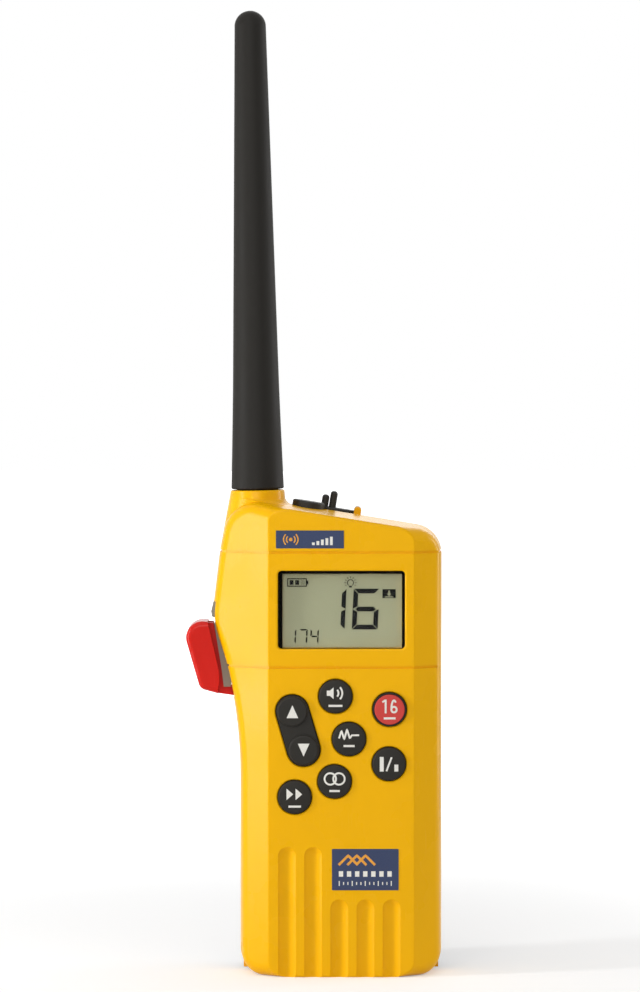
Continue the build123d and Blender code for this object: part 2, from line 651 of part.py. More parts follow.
with BuildPart() as front_housing:
    add(body.part)
    split(bisect_by=facing_front(PARTING_Y), keep=Keep.TOP)
    split(bisect_by=Plane.XY.offset(JOINT_Z), keep=Keep.BOTTOM)
    # Flutes, scooped out of the lower face and run out through the base.
    for x, top in FLUTES:
        with Locations((x, FLUTE_AXIS_Y, -1)):
            length = top - FLUTE_W / 2 + 1
            align = (Align.CENTER, Align.CENTER, Align.MIN)
            Cylinder(FLUTE_TOOL_R, length, align=align, mode=Mode.SUBTRACT)
        with Locations((x, FLUTE_AXIS_Y, top - FLUTE_W / 2)):
            Sphere(FLUTE_TOOL_R, mode=Mode.SUBTRACT)
    # Window pocket and the opening behind it.
    with BuildSketch(facing_front(POCKET_FLOOR_Y)):
        with Locations((WINDOW_X, WINDOW_Z)):
            RectangleRounded(WINDOW_W, WINDOW_H, WINDOW_CORNER_R)
    extrude(amount=WALL, mode=Mode.SUBTRACT)
    # Key holes.
    with BuildSketch(facing_front(INNER_FRONT_Y)):
        with Locations(*KEYS.values(), CHANNEL_KEY):
            Circle(KEY_R + KEY_GAP)
        with Locations(ROCKER_CENTRE):
            across = 2 * (ROCKER_PAD_R + ROCKER_GAP)
            SlotCenterToCenter(ROCKER_RUN.length, across, rotation=ROCKER_TURN)
    extrude(amount=WALL, mode=Mode.SUBTRACT)
    # Soften the rims on the face: window, keys and flutes.
    face = front_housing.faces().filter_by(Axis.Y).sort_by(Axis.Y)[0]
    rims = face.inner_wires().edges()
    window_rim = [e for e in rims if abs(e.center().Z - WINDOW_Z) < WINDOW_H / 2 + 1]
    key_rims = [e for e in rims if e.center().Z < WINDOW_Z - WINDOW_H / 2 - 1]
    fillet(window_rim, WINDOW_RIM_R)
    chamfer(key_rims, KEY_HOLE_BREAK)
    add(front_hollow.part, mode=Mode.SUBTRACT)
    with BuildSketch(facing_front(LEDGE_Y)):
        with Locations((VIEW_X, VIEW_Z)):
            Rectangle(VIEW_W, VIEW_H)
    extrude(amount=WALL, mode=Mode.SUBTRACT)
    add(lever_pocket.part, mode=Mode.SUBTRACT)
    add(stem_way.part, mode=Mode.SUBTRACT)
    # Fine grooves round the body: at the top joint and across the middle.
    add(outside_band(JOINT_Z - LIP_CHAMFER, JOINT_Z, LIP_CHAMFER), mode=Mode.SUBTRACT)
    add(style_groove.part, mode=Mode.SUBTRACT)
    # Half of the cable opening in the deck.
    with BuildSketch(Plane.XY.offset(DECK_Z)):
        with Locations((0, PARTING_Y)):
            Rectangle(*DECK_SLOT)
    extrude(amount=DECK, mode=Mode.SUBTRACT)
    # Seal groove, screw holes and the blind holes of the lever's pin.
    with BuildSketch(facing_front(PARTING_Y)):
        add(seal_band(SEAL_INSET - SEAL_GAP, SEAL_WIDTH + 2 * SEAL_GAP))
    extrude(amount=SEAL_HALF_DEPTH, mode=Mode.SUBTRACT)
    with BuildSketch(facing_front(PARTING_Y)):
        with Locations(*UPPER_SCREWS, *LOWER_SCREWS):
            Circle(SCREW_R)
    extrude(amount=HOUSING_SCREW_REACH + 0.5, mode=Mode.SUBTRACT)
    with BuildSketch(facing_front(BOARD_Y)):
        with Locations(*BOARD_SCREWS):
            Circle(SCREW_R)
    extrude(amount=BOARD_SCREW_REACH + SCREW_RELIEF, mode=Mode.SUBTRACT)
    with BuildSketch(Plane.XY.offset(DECK_Z)):
        with Locations(*COVER_SCREWS):
            Circle(SCREW_R + SCREW_GAP)
    extrude(amount=DECK, mode=Mode.SUBTRACT)
    with BuildSketch(facing_front(PARTING_Y)):
        with Locations(LEVER_PIN):
            Circle(LEVER_PIN_R)
    extrude(amount=POCKET_W / 2 + 1.0, mode=Mode.SUBTRACT)
    # Sound slots through the base, one under each flute, and the microphone's port.
    with BuildSketch(Plane.XY):
        for x, top in FLUTES:
            with Locations((x, SOUND_SLOT_Y)):
                Rectangle(*SOUND_SLOT)
        with Locations(MIC):
            Circle(MIC_PORT_R)
    extrude(amount=WALL, mode=Mode.SUBTRACT)
front_housing.part.label = "front_housing"
export_step(front_housing.part, "parts/front_housing.step")

# ---------------------------------------------------------------- rear housing
CEILING_Z = BAY_TOP_Z + WALL

with BuildPart() as rear_hollow:
    add(hollow)
    split(bisect_by=facing_front(PARTING_Y), keep=Keep.BOTTOM)
    split(bisect_by=Plane.XY.offset(DECK_Z), keep=Keep.BOTTOM)
    split(bisect_by=Plane.XY.offset(CEILING_Z), keep=Keep.TOP)
    add(pocket_shell.part, mode=Mode.SUBTRACT)
    with BuildSketch(facing_front(PARTING_Y)):
        with Locations(*UPPER_SCREWS):
            Circle(SCREW_HEAD_R + SCREW_GAP + BOSS_WALL)
    extrude(amount=-REAR_DEPTH, mode=Mode.SUBTRACT)

with BuildPart() as battery_bay:
    with BuildSketch(facing_front(BAY_Y)):
        Rectangle(ALL, 2 * BAY_TOP_Z)
    extrude(amount=-ALL)

UPPER_HEAD_Y = REAR_Y - UPPER_HEAD_DEPTH
LOWER_HEAD_Y = BAY_Y - SCREW_HEAD_T - LOWER_HEAD_SINK
contact_places = [(CONTACT_X + (i - 1) * CONTACT_PITCH, PACK_SCREW_Z) for i in range(CONTACT_COUNT)]

with BuildPart() as rear_housing:
    add(body.part)
    split(bisect_by=facing_front(PARTING_Y), keep=Keep.BOTTOM)
    split(bisect_by=Plane.XY.offset(JOINT_Z), keep=Keep.BOTTOM)
    add(rear_hollow.part, mode=Mode.SUBTRACT)
    add(battery_bay.part, mode=Mode.SUBTRACT)
    add(lever_pocket.part, mode=Mode.SUBTRACT)
    add(stem_way.part, mode=Mode.SUBTRACT)
    # Lanyard eye on the back.
    with BuildSketch(Plane.YZ.offset(EYE_X - EYE_LENGTH / 2)):
        with Locations((REAR_Y + EYE_STANDOFF, EYE_Z)):
            Circle(EYE_R + EYE_WALL)
        with Locations((REAR_Y - 0.5, EYE_Z)):
            foot_length = 0.5 + EYE_STANDOFF
            align = (Align.MIN, Align.CENTER)
            Rectangle(foot_length, 2 * (EYE_R + EYE_WALL), align=align)
    extrude(amount=EYE_LENGTH)
    with BuildSketch(Plane.YZ.offset(EYE_X - EYE_LENGTH / 2)):
        with Locations((REAR_Y + EYE_STANDOFF, EYE_Z)):
            Circle(EYE_R)
    extrude(amount=EYE_LENGTH, mode=Mode.SUBTRACT)
    # Post behind the bay floor for the battery screw's insert.
    with BuildSketch(facing_front(BAY_Y)):
        with Locations((0, PACK_SCREW_Z)):
            Circle(INSERT_R + BOSS_WALL)
    extrude(amount=BAY_Y - INSERT_FRONT_Y + INSERT_RELIEF)
    with BuildSketch(facing_front(BAY_Y)):
        with Locations((0, PACK_SCREW_Z)):
            Circle(INSERT_R)
    extrude(amount=BAY_Y - INSERT_FRONT_Y, mode=Mode.SUBTRACT)
    # Joint groove and the other half of the cable opening.
    add(outside_band(JOINT_Z - LIP_CHAMFER, JOINT_Z, LIP_CHAMFER), mode=Mode.SUBTRACT)
    with BuildSketch(Plane.XY.offset(DECK_Z)):
        with Locations((0, PARTING_Y)):
            Rectangle(*DECK_SLOT)
        with Locations(*COVER_SCREWS):
            Circle(SCREW_R + SCREW_GAP)
    extrude(amount=DECK, mode=Mode.SUBTRACT)
    with BuildSketch(facing_front(PARTING_Y)):
        add(seal_band(SEAL_INSET - SEAL_GAP, SEAL_WIDTH + 2 * SEAL_GAP))
    extrude(amount=-SEAL_HALF_DEPTH, mode=Mode.SUBTRACT)
    # Housing screws: deep counterbores above, shallow ones under the battery.
    with BuildSketch(facing_front(PARTING_Y)):
        with Locations(*UPPER_SCREWS, *LOWER_SCREWS):
            Circle(SCREW_R + SCREW_GAP)
    extrude(amount=-ALL, mode=Mode.SUBTRACT)
    with BuildSketch(facing_front(UPPER_HEAD_Y)):
        with Locations(*UPPER_SCREWS):
            Circle(SCREW_HEAD_R + SCREW_GAP)
    extrude(amount=-ALL, mode=Mode.SUBTRACT)
    with BuildSketch(facing_front(LOWER_HEAD_Y)):
        with Locations(*LOWER_SCREWS):
            Circle(SCREW_HEAD_R + SCREW_GAP)
    extrude(amount=-ALL, mode=Mode.SUBTRACT)
    with BuildSketch(facing_front(PARTING_Y)):
        with Locations(LEVER_PIN):
            Circle(LEVER_PIN_R)
    extrude(amount=-(POCKET_W / 2 + 1.0), mode=Mode.SUBTRACT)
    # Bay floor: locating holes for the pack, contact pins and their seal's groove.
    with BuildSketch(facing_front(BAY_Y - PEG_LENGTH)):
        with Locations(*PEGS):
            Circle(PEG_R + RUNNING_GAP)
    extrude(amount=-ALL, mode=Mode.SUBTRACT)
    with BuildSketch(facing_front(PARTING_Y)):
        with Locations(*contact_places):
            Circle(CONTACT_PIN_R)
    extrude(amount=-ALL, mode=Mode.SUBTRACT)
    with BuildSketch(facing_front(BAY_Y - CONTACT_SEAL_T + CONTACT_SEAL_PROUD)):
        with Locations((CONTACT_X, PACK_SCREW_Z)):
            Rectangle(*SEAL_RING)
            Rectangle(*[side - 2 * SEAL_RING_W for side in SEAL_RING], mode=Mode.SUBTRACT)
    extrude(amount=-ALL, mode=Mode.SUBTRACT)
rear_housing.part.label = "rear_housing"
export_step(rear_housing.part, "parts/rear_housing.step")

# ---------------------------------------------------------------- top cover
BUTTON_SEAT = WALL + BUTTON_SETBACK       # flange below the sloping top


def joint_corner(side):
    """Depth at which a side wall, side mm out at the parting plane, meets its bevel."""
    reach = FACE_HALF_WIDTH - FRONT_Y / BEVEL_RISE - side + PARTING_Y * DRAFT_RISE
    return reach / (DRAFT_RISE - 1 / BEVEL_RISE)


def cover_band(inset, width):
    """Ring sketch that follows the joint under the top cover, inside its outer edge."""
    left = BODY_HALF_WIDTH + NECK_OUT
    right = BODY_HALF_WIDTH
    rear_run = REAR_DEPTH * DRAFT_RISE
    corners = [(-left, PARTING_Y), (rear_run - left, REAR_Y)]
    corners += [(right - rear_run, REAR_Y), (right, PARTING_Y)]
    for side, sign in ((right, 1), (left, -1)):
        y = joint_corner(side)
        pair = [(sign * (side - (PARTING_Y - y) * DRAFT_RISE), y), (sign * FACE_HALF_WIDTH, FRONT_Y)]
        corners += pair if sign > 0 else pair[::-1]
    with BuildSketch() as ring:
        for amount, mode in ((inset, Mode.ADD), (inset + width, Mode.SUBTRACT)):
            with BuildSketch(mode=Mode.PRIVATE) as edge:
                with BuildLine():
                    Polyline(*corners, close=True)
                make_face()
                fillet(edge.vertices().group_by(Axis.Y)[-1], REAR_EDGE_R)
                offset(amount=-amount, kind=Kind.INTERSECTION, mode=Mode.REPLACE)
            add(edge.sketch, mode=mode)
    return ring.sketch


with BuildPart() as cover_hollow:
    add(hollow)
    split(bisect_by=Plane.XY.offset(JOINT_Z), keep=Keep.TOP)
    # Tube round the antenna's well and posts for the cover's screws.
    with BuildSketch(at_antenna(-WELL_DEPTH - WELL_FLOOR)):
        Circle(WELL_WALL_R)
    extrude(amount=2 * WELL_DEPTH, mode=Mode.SUBTRACT)
    with BuildSketch(Plane.XY.offset(JOINT_Z)):
        with Locations(*COVER_SCREWS):
            Circle(SCREW_R + BOSS_WALL)
    extrude(amount=ALL, mode=Mode.SUBTRACT)

BOSS_FOOT_X = -BODY_HALF_WIDTH - NECK_OUT + BOSS_FOOT_R


def boss_edge(side, height):
    """Where one side of the boss meets the plane that lies height above the sloping top."""
    slope = radians(TOP_SLOPE)
    start = Vector(ANTENNA_X + side * BOSS_R, PARTING_Y, BOSS_TOP_Z)
    run = Vector(BOSS_FOOT_X + side * BOSS_FOOT_R, PARTING_Y, JOINT_Z) - start
    drop = start.Z - top_height(start.X) - height / cos(slope)
    return start + run * (drop / (-run.Z - run.X * tan(slope)))


def flare_section(side, rise, spread):
    """Circle round the boss, rise above the drafted top; spread widens it to the right."""
    slope = radians(TOP_SLOPE)
    draft = radians(DRAFT)
    along = Vector(cos(slope), 0, -sin(slope))
    up = Vector(sin(slope) * cos(draft), side * sin(draft), cos(slope) * cos(draft))
    left = boss_edge(-1, rise) + along * FLARE_SINK
    right = boss_edge(1, rise) + along * (spread - FLARE_SINK / 3)
    with BuildSketch(Plane((left + right) * 0.5, x_dir=along, z_dir=up)) as section:
        Circle((right - left).length / 2)
    return section.sketch


def flare_half(side):
    """Concave flare at the foot of the boss, front half or rear half; it fades to the left."""
    turns = [radians(12 + 78 * step / BOSS_FILLET_STEPS) for step in range(BOSS_FILLET_STEPS + 1)]
    sizes = [(BOSS_FILLET * (1 - cos(turn)) - 0.1, BOSS_FILLET * (1 - sin(turn))) for turn in turns]
    with BuildPart() as half:
        loft([flare_section(side, rise, spread) for rise, spread in sizes])
        loft([flare_section(side, -4.0, 0.0), flare_section(side, *sizes[0])])
        split(bisect_by=facing_front(PARTING_Y), keep=Keep.TOP if side < 0 else Keep.BOTTOM)
        split(bisect_by=Plane.XY.offset(BOSS_TOP_Z - BOSS_EDGE_R), keep=Keep.BOTTOM)
    return half.part


hinge_point = on_top(HINGE_X, JACK_Y, HINGE_H).origin
FLAP_HINGE = (hinge_point.X, hinge_point.Z)

with BuildPart() as antenna_boss:
    with BuildSketch(Plane.XY.offset(JOINT_Z)):
        with Locations((BOSS_FOOT_X, PARTING_Y)):
            Circle(BOSS_FOOT_R)
    with BuildSketch(at_antenna(0)):
        Circle(BOSS_R)
    loft()
    fillet(antenna_boss.faces().sort_by(Axis.Z)[-1].edges(), BOSS_EDGE_R)

with BuildPart() as top_cover:
    add(body.part)
    split(bisect_by=Plane.XY.offset(JOINT_Z), keep=Keep.TOP)
    add(antenna_boss.part)
    add(flare_half(-1))
    add(flare_half(1))
    # Lugs that carry the socket cover's pin.
    for y in (JACK_Y - LUG_OFFSET, JACK_Y + LUG_OFFSET):
        hinge_place = on_top(HINGE_X, y - LUG_T / 2)
        section = Plane(hinge_place.origin, hinge_place.x_dir, (0, -1, 0))
        with BuildSketch(section):
            with Locations((0, HINGE_H)):
                Circle(LUG_HALF_LENGTH)
            with Locations((0, HINGE_H)):
                size = (2 * LUG_HALF_LENGTH, HINGE_H + LUG_ROOT)
                Rectangle(*size, align=(Align.CENTER, Align.MAX))
        extrude(amount=-LUG_T)
    add(cover_hollow.part, mode=Mode.SUBTRACT)
    add(outside_band(JOINT_Z, JOINT_Z + LIP_CHAMFER, LIP_CHAMFER), mode=Mode.SUBTRACT)
    # Seal groove and screw holes in the under side.
    with BuildSketch(Plane.XY.offset(JOINT_Z)):
        add(cover_band(TOP_SEAL_INSET - SEAL_GAP, SEAL_WIDTH + 2 * SEAL_GAP))
        with Locations(*COVER_SCREWS):
            Circle(SCREW_R)
    extrude(amount=TOP_SEAL_T - TOP_SEAL_SQUEEZE, mode=Mode.SUBTRACT)
    with BuildSketch(Plane.XY.offset(JOINT_Z)):
        with Locations(*COVER_SCREWS):
            Circle(SCREW_R)
    extrude(amount=COVER_SCREW_REACH + 0.5, mode=Mode.SUBTRACT)
    # Antenna well and the hole for the socket's shank.
    with BuildSketch(at_antenna(0)):
        Circle(WELL_R)
    extrude(amount=-WELL_DEPTH, mode=Mode.SUBTRACT)
    with BuildSketch(at_antenna(0)):
        Circle(SOCKET_SHANK_R)
    extrude(amount=-(WELL_DEPTH + WELL_FLOOR + 1), mode=Mode.SUBTRACT)
    # Push button, accessory socket and the shallow seat of its cover.
    with BuildSketch(on_top(BUTTON_X, PARTING_Y)):
        Circle(BUTTON_R + BUTTON_GAP)
    extrude(amount=-WALL - 2, mode=Mode.SUBTRACT)
    with BuildSketch(on_top(JACK_X, JACK_Y, -FLAP_RECESS)):
        left = -FLAP_LEFT - FLAP_GAP
        right = HINGE_X - LUG_HALF_LENGTH - JACK_X
        with Locations(((left + right) / 2, 0)):
            RectangleRounded(right - left, FLAP_W + 2 * FLAP_GAP, FLAP_CORNER_R + FLAP_GAP)
    extrude(amount=2 * WALL, mode=Mode.SUBTRACT)
    with BuildSketch(on_top(JACK_X, JACK_Y)):
        Circle(JACK_R)
    extrude(amount=-WALL - 2, mode=Mode.SUBTRACT)
    # Way for the cover's pin, pushed in from behind and closed at the front.
    with BuildSketch(facing_front(JACK_Y + FLAP_W)):
        with Locations(FLAP_HINGE):
            Circle(PIN_R)
    extrude(amount=FLAP_W + LUG_OFFSET + LUG_T / 2 - LUG_SKIN, mode=Mode.SUBTRACT)
top_cover.part.label = "top_cover"
export_step(top_cover.part, "parts/top_cover.step")

# ---------------------------------------------------------------- seals
with BuildPart() as housing_seal:
    with BuildSketch(facing_front(PARTING_Y + SEAL_HALF_DEPTH)):
        add(seal_band(SEAL_INSET, SEAL_WIDTH))
    extrude(amount=2 * SEAL_HALF_DEPTH)
    add(stem_way.part, mode=Mode.SUBTRACT)
housing_seal.part.label = "housing_seal"
export_step(housing_seal.part, "parts/housing_seal.step")

with BuildPart() as top_seal:
    with BuildSketch(Plane.XY.offset(JOINT_Z)):
        add(cover_band(TOP_SEAL_INSET, SEAL_WIDTH))
    extrude(amount=TOP_SEAL_T - TOP_SEAL_SQUEEZE)
top_seal.part.label = "top_seal"
export_step(top_seal.part, "parts/top_seal.step")

# ---------------------------------------------------------------- window and display
with BuildPart() as display_window:
    with BuildSketch(facing_front(PANE_BACK_Y)):
        with Locations((WINDOW_X, WINDOW_Z)):
            width = WINDOW_W - 2 * PANE_GAP
            height = WINDOW_H - 2 * PANE_GAP
            RectangleRounded(width, height, WINDOW_CORNER_R - PANE_GAP)
    extrude(amount=PANE_T)
    chamfer(display_window.faces().sort_by(Axis.Y)[0].edges(), PANE_BEVEL)
display_window.part.label = "display_window"
export_step(display_window.part, "parts/display_window.step")

with BuildPart() as window_gasket:
    with BuildSketch(facing_front(POCKET_FLOOR_Y)):
        with Locations((WINDOW_X, WINDOW_Z)):
            RectangleRounded(WINDOW_W, WINDOW_H, WINDOW_CORNER_R)
        with Locations((VIEW_X, VIEW_Z)):
            Rectangle(VIEW_W, VIEW_H, mode=Mode.SUBTRACT)
    extrude(amount=GASKET_T)
window_gasket.part.label = "window_gasket"
export_step(window_gasket.part, "parts/window_gasket.step")

with BuildPart() as lcd_panel:
    with BuildSketch(facing_front(LEDGE_Y + LCD_SIZE[2])):
        with Locations((VIEW_X, VIEW_Z)):
            Rectangle(LCD_SIZE[0], LCD_SIZE[1])
    extrude(amount=LCD_SIZE[2])
lcd_panel.part.label = "lcd_panel"
export_step(lcd_panel.part, "parts/lcd_panel.step")

with BuildPart() as lcd_backlight:
    with BuildSketch(facing_front(BOARD_Y)):
        with Locations((VIEW_X, VIEW_Z)):
            Rectangle(LCD_SIZE[0] - 1, LCD_SIZE[1] - 2)
    extrude(amount=BACKLIGHT_T)
lcd_backlight.part.label = "lcd_backlight"
export_step(lcd_backlight.part, "parts/lcd_backlight.step")

# ---------------------------------------------------------------- keypad
def key_section(x, z):
    """Plane through a key's axis, drawn radius first, then height towards the front."""
    return Plane((x, KEY_FLANGE_Y, z), x_dir=(1, 0, 0), z_dir=(0, 0, -1))


for name, (x, z) in KEYS.items():
    with BuildPart() as key:
        with BuildSketch(key_section(x, z)) as profile:
            with BuildLine():
                shoulder = Polyline(
                    (0, 0),
                    (KEY_FLANGE_R, 0),
                    (KEY_FLANGE_R, KEY_FLANGE_T),
                    (KEY_R, KEY_FLANGE_T),
                    (KEY_R, KEY_HEIGHT),
                )
                crown = (0, KEY_HEIGHT + KEY_DOME)
                TangentArc(crown, shoulder @ 1, tangent=(1, 0))
                Line(crown, (0, 0))
            make_face()
            rim = profile.vertices().sort_by_distance((KEY_R, KEY_HEIGHT))[0]
            fillet(rim, KEY_EDGE_R)
        revolve(axis=Axis((x, 0, z), (0, -1, 0)))
    key.part.label = name
    export_step(key.part, f"parts/{name}.step")

with BuildPart() as key_channel_16:
    with BuildSketch(facing_front(KEY_FLANGE_Y)):
        with Locations(CHANNEL_KEY):
            Circle(KEY_FLANGE_R)
    extrude(amount=KEY_FLANGE_T)
    with BuildSketch(facing_front(KEY_FLANGE_Y)):
        with Locations(CHANNEL_KEY):
            Circle(KEY_R)
    extrude(amount=KEY_HEIGHT)
    with BuildSketch(facing_front(KEY_FLANGE_Y - KEY_HEIGHT + CHANNEL_CAP_T)):
        with Locations(CHANNEL_KEY):
            Circle(CHANNEL_CAP_R)
    extrude(amount=CHANNEL_CAP_T, mode=Mode.SUBTRACT)
    fillet(key_channel_16.edges().filter_by(GeomType.CIRCLE).sort_by(Axis.Y)[0:2], CHANNEL_EDGE_R)
key_channel_16.part.label = "key_channel_16"
export_step(key_channel_16.part, "parts/key_channel_16.step")

with BuildPart() as key_channel_16_cap:
    with BuildSketch(facing_front(KEY_FLANGE_Y - KEY_HEIGHT + CHANNEL_CAP_T)):
        with Locations(CHANNEL_KEY):
            Circle(CHANNEL_CAP_R)
    extrude(amount=CHANNEL_CAP_T + CHANNEL_CAP_PROUD)
    fillet(key_channel_16_cap.faces().sort_by(Axis.Y)[0].edges(), CHANNEL_CAP_EDGE_R)
key_channel_16_cap.part.label = "key_channel_16_cap"
export_step(key_channel_16_cap.part, "parts/key_channel_16_cap.step")

rocker_back_y = INNER_FRONT_Y + ROCKER_SETBACK + KEY_FLANGE_T
with BuildPart() as channel_rocker:
    with BuildSketch(facing_front(rocker_back_y)):
        with Locations(ROCKER_CENTRE):
            across = 2 * (ROCKER_PAD_R + KEY_FLANGE_R - KEY_R)
            SlotCenterToCenter(ROCKER_RUN.length, across, rotation=ROCKER_TURN)
    extrude(amount=KEY_FLANGE_T)
    with BuildSketch(facing_front(rocker_back_y)):
        with Locations(ROCKER_CENTRE):
            SlotCenterToCenter(ROCKER_RUN.length, 2 * ROCKER_PAD_R, rotation=ROCKER_TURN)
    extrude(amount=rocker_back_y - FRONT_Y + ROCKER_PROUD)
    fillet(channel_rocker.faces().sort_by(Axis.Y)[0].edges(), ROCKER_EDGE_R)
    saddle_y = channel_rocker.faces().sort_by(Axis.Y)[0].center().Y
    with BuildSketch(facing_front(saddle_y)):
        with Locations(ROCKER_TOP, ROCKER_BOTTOM):
            Circle(ROCKER_PAD_R - ROCKER_PAD_STEP)
    extrude(amount=ROCKER_PAD_H)
    fillet(channel_rocker.faces().sort_by(Axis.Y)[0:2].edges(), ROCKER_PAD_H * ROCKER_PAD_ROUND)
channel_rocker.part.label = "channel_rocker"
export_step(channel_rocker.part, "parts/channel_rocker.step")

pad_height = MAT_Y - KEY_FLANGE_Y - KEY_TRAVEL - MAT_SLACK
with BuildPart() as keypad_mat:
    with BuildSketch(facing_front(BOARD_Y)):
        with Locations(MAT_CENTRE):
            RectangleRounded(*MAT_SIZE, MAT_CORNER_R)
        with Locations(*BOARD_SCREWS):
            Circle(SCREW_R + BOSS_WALL + MAT_POST_GAP, mode=Mode.SUBTRACT)
    extrude(amount=MAT_T)
    with BuildSketch(facing_front(MAT_Y)):
        with Locations(*KEYS.values(), CHANNEL_KEY):
            Circle(MAT_PAD_R)
    extrude(amount=pad_height)
    with BuildSketch(facing_front(MAT_Y)):
        with Locations(ROCKER_TOP, ROCKER_BOTTOM):
            Circle(MAT_PAD_R)
    extrude(amount=MAT_LOW_PAD)
keypad_mat.part.label = "keypad_mat"
export_step(keypad_mat.part, "parts/keypad_mat.step")

# ---------------------------------------------------------------- boards and sound
with BuildPart() as main_board:
    with BuildSketch(facing_front(BOARD_Y + BOARD_T)):
        with Locations((0, BOARD_FOOT_Z)):
            Rectangle(*BOARD_SIZE, align=(Align.CENTER, Align.MIN))
        with Locations(*BOARD_SCREWS):
            Circle(SCREW_R + SCREW_GAP, mode=Mode.SUBTRACT)
    extrude(amount=BOARD_T)
main_board.part.label = "main_board"
export_step(main_board.part, "parts/main_board.step")

shield_y = BOARD_Y + BOARD_T
with BuildPart() as rf_shield:
    with BuildSketch(facing_front(shield_y)):
        with Locations(SHIELD_CENTRE):
            Rectangle(SHIELD_SIZE[0], SHIELD_SIZE[1])
    extrude(amount=-SHIELD_SIZE[2])
    fillet(rf_shield.edges().filter_by(Axis.Y), SHIELD_CORNER_R)
    open_face = rf_shield.faces().sort_by(Axis.Y)[0]
    offset(amount=-SHIELD_SHEET_T, openings=open_face)
rf_shield.part.label = "rf_shield"
export_step(rf_shield.part, "parts/rf_shield.step")

speaker_y = INNER_FRONT_Y + FLUTE_BACKING
speaker_plane = Plane((SPEAKER[0], speaker_y, SPEAKER[1]), x_dir=(1, 0, 0), z_dir=(0, 0, 1))
speaker_axis = Axis((SPEAKER[0], 0, SPEAKER[1]), (0, 1, 0))
with BuildPart() as speaker:
    with BuildSketch(speaker_plane):
        with BuildLine():
            Polyline(
                (0, SPEAKER_DISH),
                (SPEAKER_MAGNET_R, SPEAKER_DISH),
                (CONE_R + CONE_LIP, SPEAKER_DISH_RIM),
                (CONE_R + CONE_LIP, 0),
                (SPEAKER_R, 0),
                (SPEAKER_R, SPEAKER_FRAME_T - 1),
                (SPEAKER_MAGNET_R, SPEAKER_FRAME_T + SPEAKER_BACK_RISE),
                (SPEAKER_MAGNET_R, SPEAKER_DEPTH),
                (0, SPEAKER_DEPTH),
                close=True,
            )
        make_face()
    revolve(axis=speaker_axis)
speaker.part.label = "speaker"
export_step(speaker.part, "parts/speaker.step")

with BuildPart() as speaker_cone:
    with BuildSketch(speaker_plane):
        with BuildLine():
            Polyline(
                (0, CONE_CAP_H),
                (CONE_CAP_R, CONE_CAP_FOOT),
                (CONE_NECK_R, SPEAKER_DISH - CONE_T),
                (CONE_R + CONE_LIP, CONE_RIM - CONE_T),
                (CONE_R + CONE_LIP, CONE_RIM),
                (CONE_NECK_R, SPEAKER_DISH),
                (CONE_CAP_R, SPEAKER_DISH),
                (0, SPEAKER_DISH),
                close=True,
            )
        make_face()
    revolve(axis=speaker_axis)
speaker_cone.part.label = "speaker_cone"
export_step(speaker_cone.part, "parts/speaker_cone.step")

with BuildPart() as microphone:
    with BuildSketch(Plane.XY.offset(WALL)):
        with Locations(MIC):
            Circle(MIC_R)
    extrude(amount=MIC_T)
    fillet(microphone.faces().sort_by(Axis.Z)[-1].edges(), MIC_EDGE_R)
microphone.part.label = "microphone"
export_step(microphone.part, "parts/microphone.step")

with BuildPart() as top_board:
    with BuildSketch(Plane.XY.offset(TOP_BOARD_Z)):
        with Locations(TOP_BOARD_CENTRE):
            Rectangle(*TOP_BOARD_SIZE)
    extrude(amount=BOARD_T)
    # Two plug-in legs stand it on the deck.
    with BuildSketch(Plane.XY.offset(JOINT_Z)):
        with Locations(TOP_BOARD_CENTRE):
            with Locations((-TOP_BOARD_SIZE[0] / 2 + 2, 0), (TOP_BOARD_SIZE[0] / 2 - 1, 0)):
                Rectangle(2, TOP_BOARD_SIZE[1] / 2)
    extrude(amount=TOP_BOARD_Z - JOINT_Z)
top_board.part.label = "top_board"
export_step(top_board.part, "parts/top_board.step")

# ---------------------------------------------------------------- power button
with BuildPart() as power_button:
    with BuildSketch(on_top(BUTTON_X, PARTING_Y, -BUTTON_SEAT - BUTTON_FLANGE_T)):
        Circle(BUTTON_FLANGE_R)
    extrude(amount=BUTTON_FLANGE_T)
    with BuildSketch(on_top(BUTTON_X, PARTING_Y, -BUTTON_SEAT - BUTTON_FLANGE_T)):
        Circle(BUTTON_R)
    extrude(amount=BUTTON_SEAT + BUTTON_FLANGE_T + BUTTON_PROUD)
    fillet(power_button.faces().sort_by(Axis.Z)[-1].edges(), BUTTON_EDGE_R)
    with BuildSketch(on_top(BUTTON_X, PARTING_Y, -BUTTON_STEM_END)):
        Circle(BUTTON_STEM_R)
    extrude(amount=BUTTON_STEM_END - BUTTON_SEAT - 0.5)
power_button.part.label = "power_button"
export_step(power_button.part, "parts/power_button.step")

switch_place = on_top(BUTTON_X, PARTING_Y, -BUTTON_STEM_END).origin
with BuildPart() as power_switch:
    with BuildSketch(Plane.XY.offset(TOP_BOARD_Z + BOARD_T)):
        with Locations((switch_place.X, PARTING_Y)):
            Rectangle(POWER_SWITCH_W, POWER_SWITCH_W)
    extrude(amount=POWER_SWITCH_H)
    with BuildSketch(Plane.XY.offset(TOP_BOARD_Z + BOARD_T)):
        with Locations((switch_place.X, PARTING_Y)):
            Circle(POWER_PLUNGER_R)
    extrude(amount=POWER_PLUNGER_H)
power_switch.part.label = "power_switch"
export_step(power_switch.part, "parts/power_switch.step")

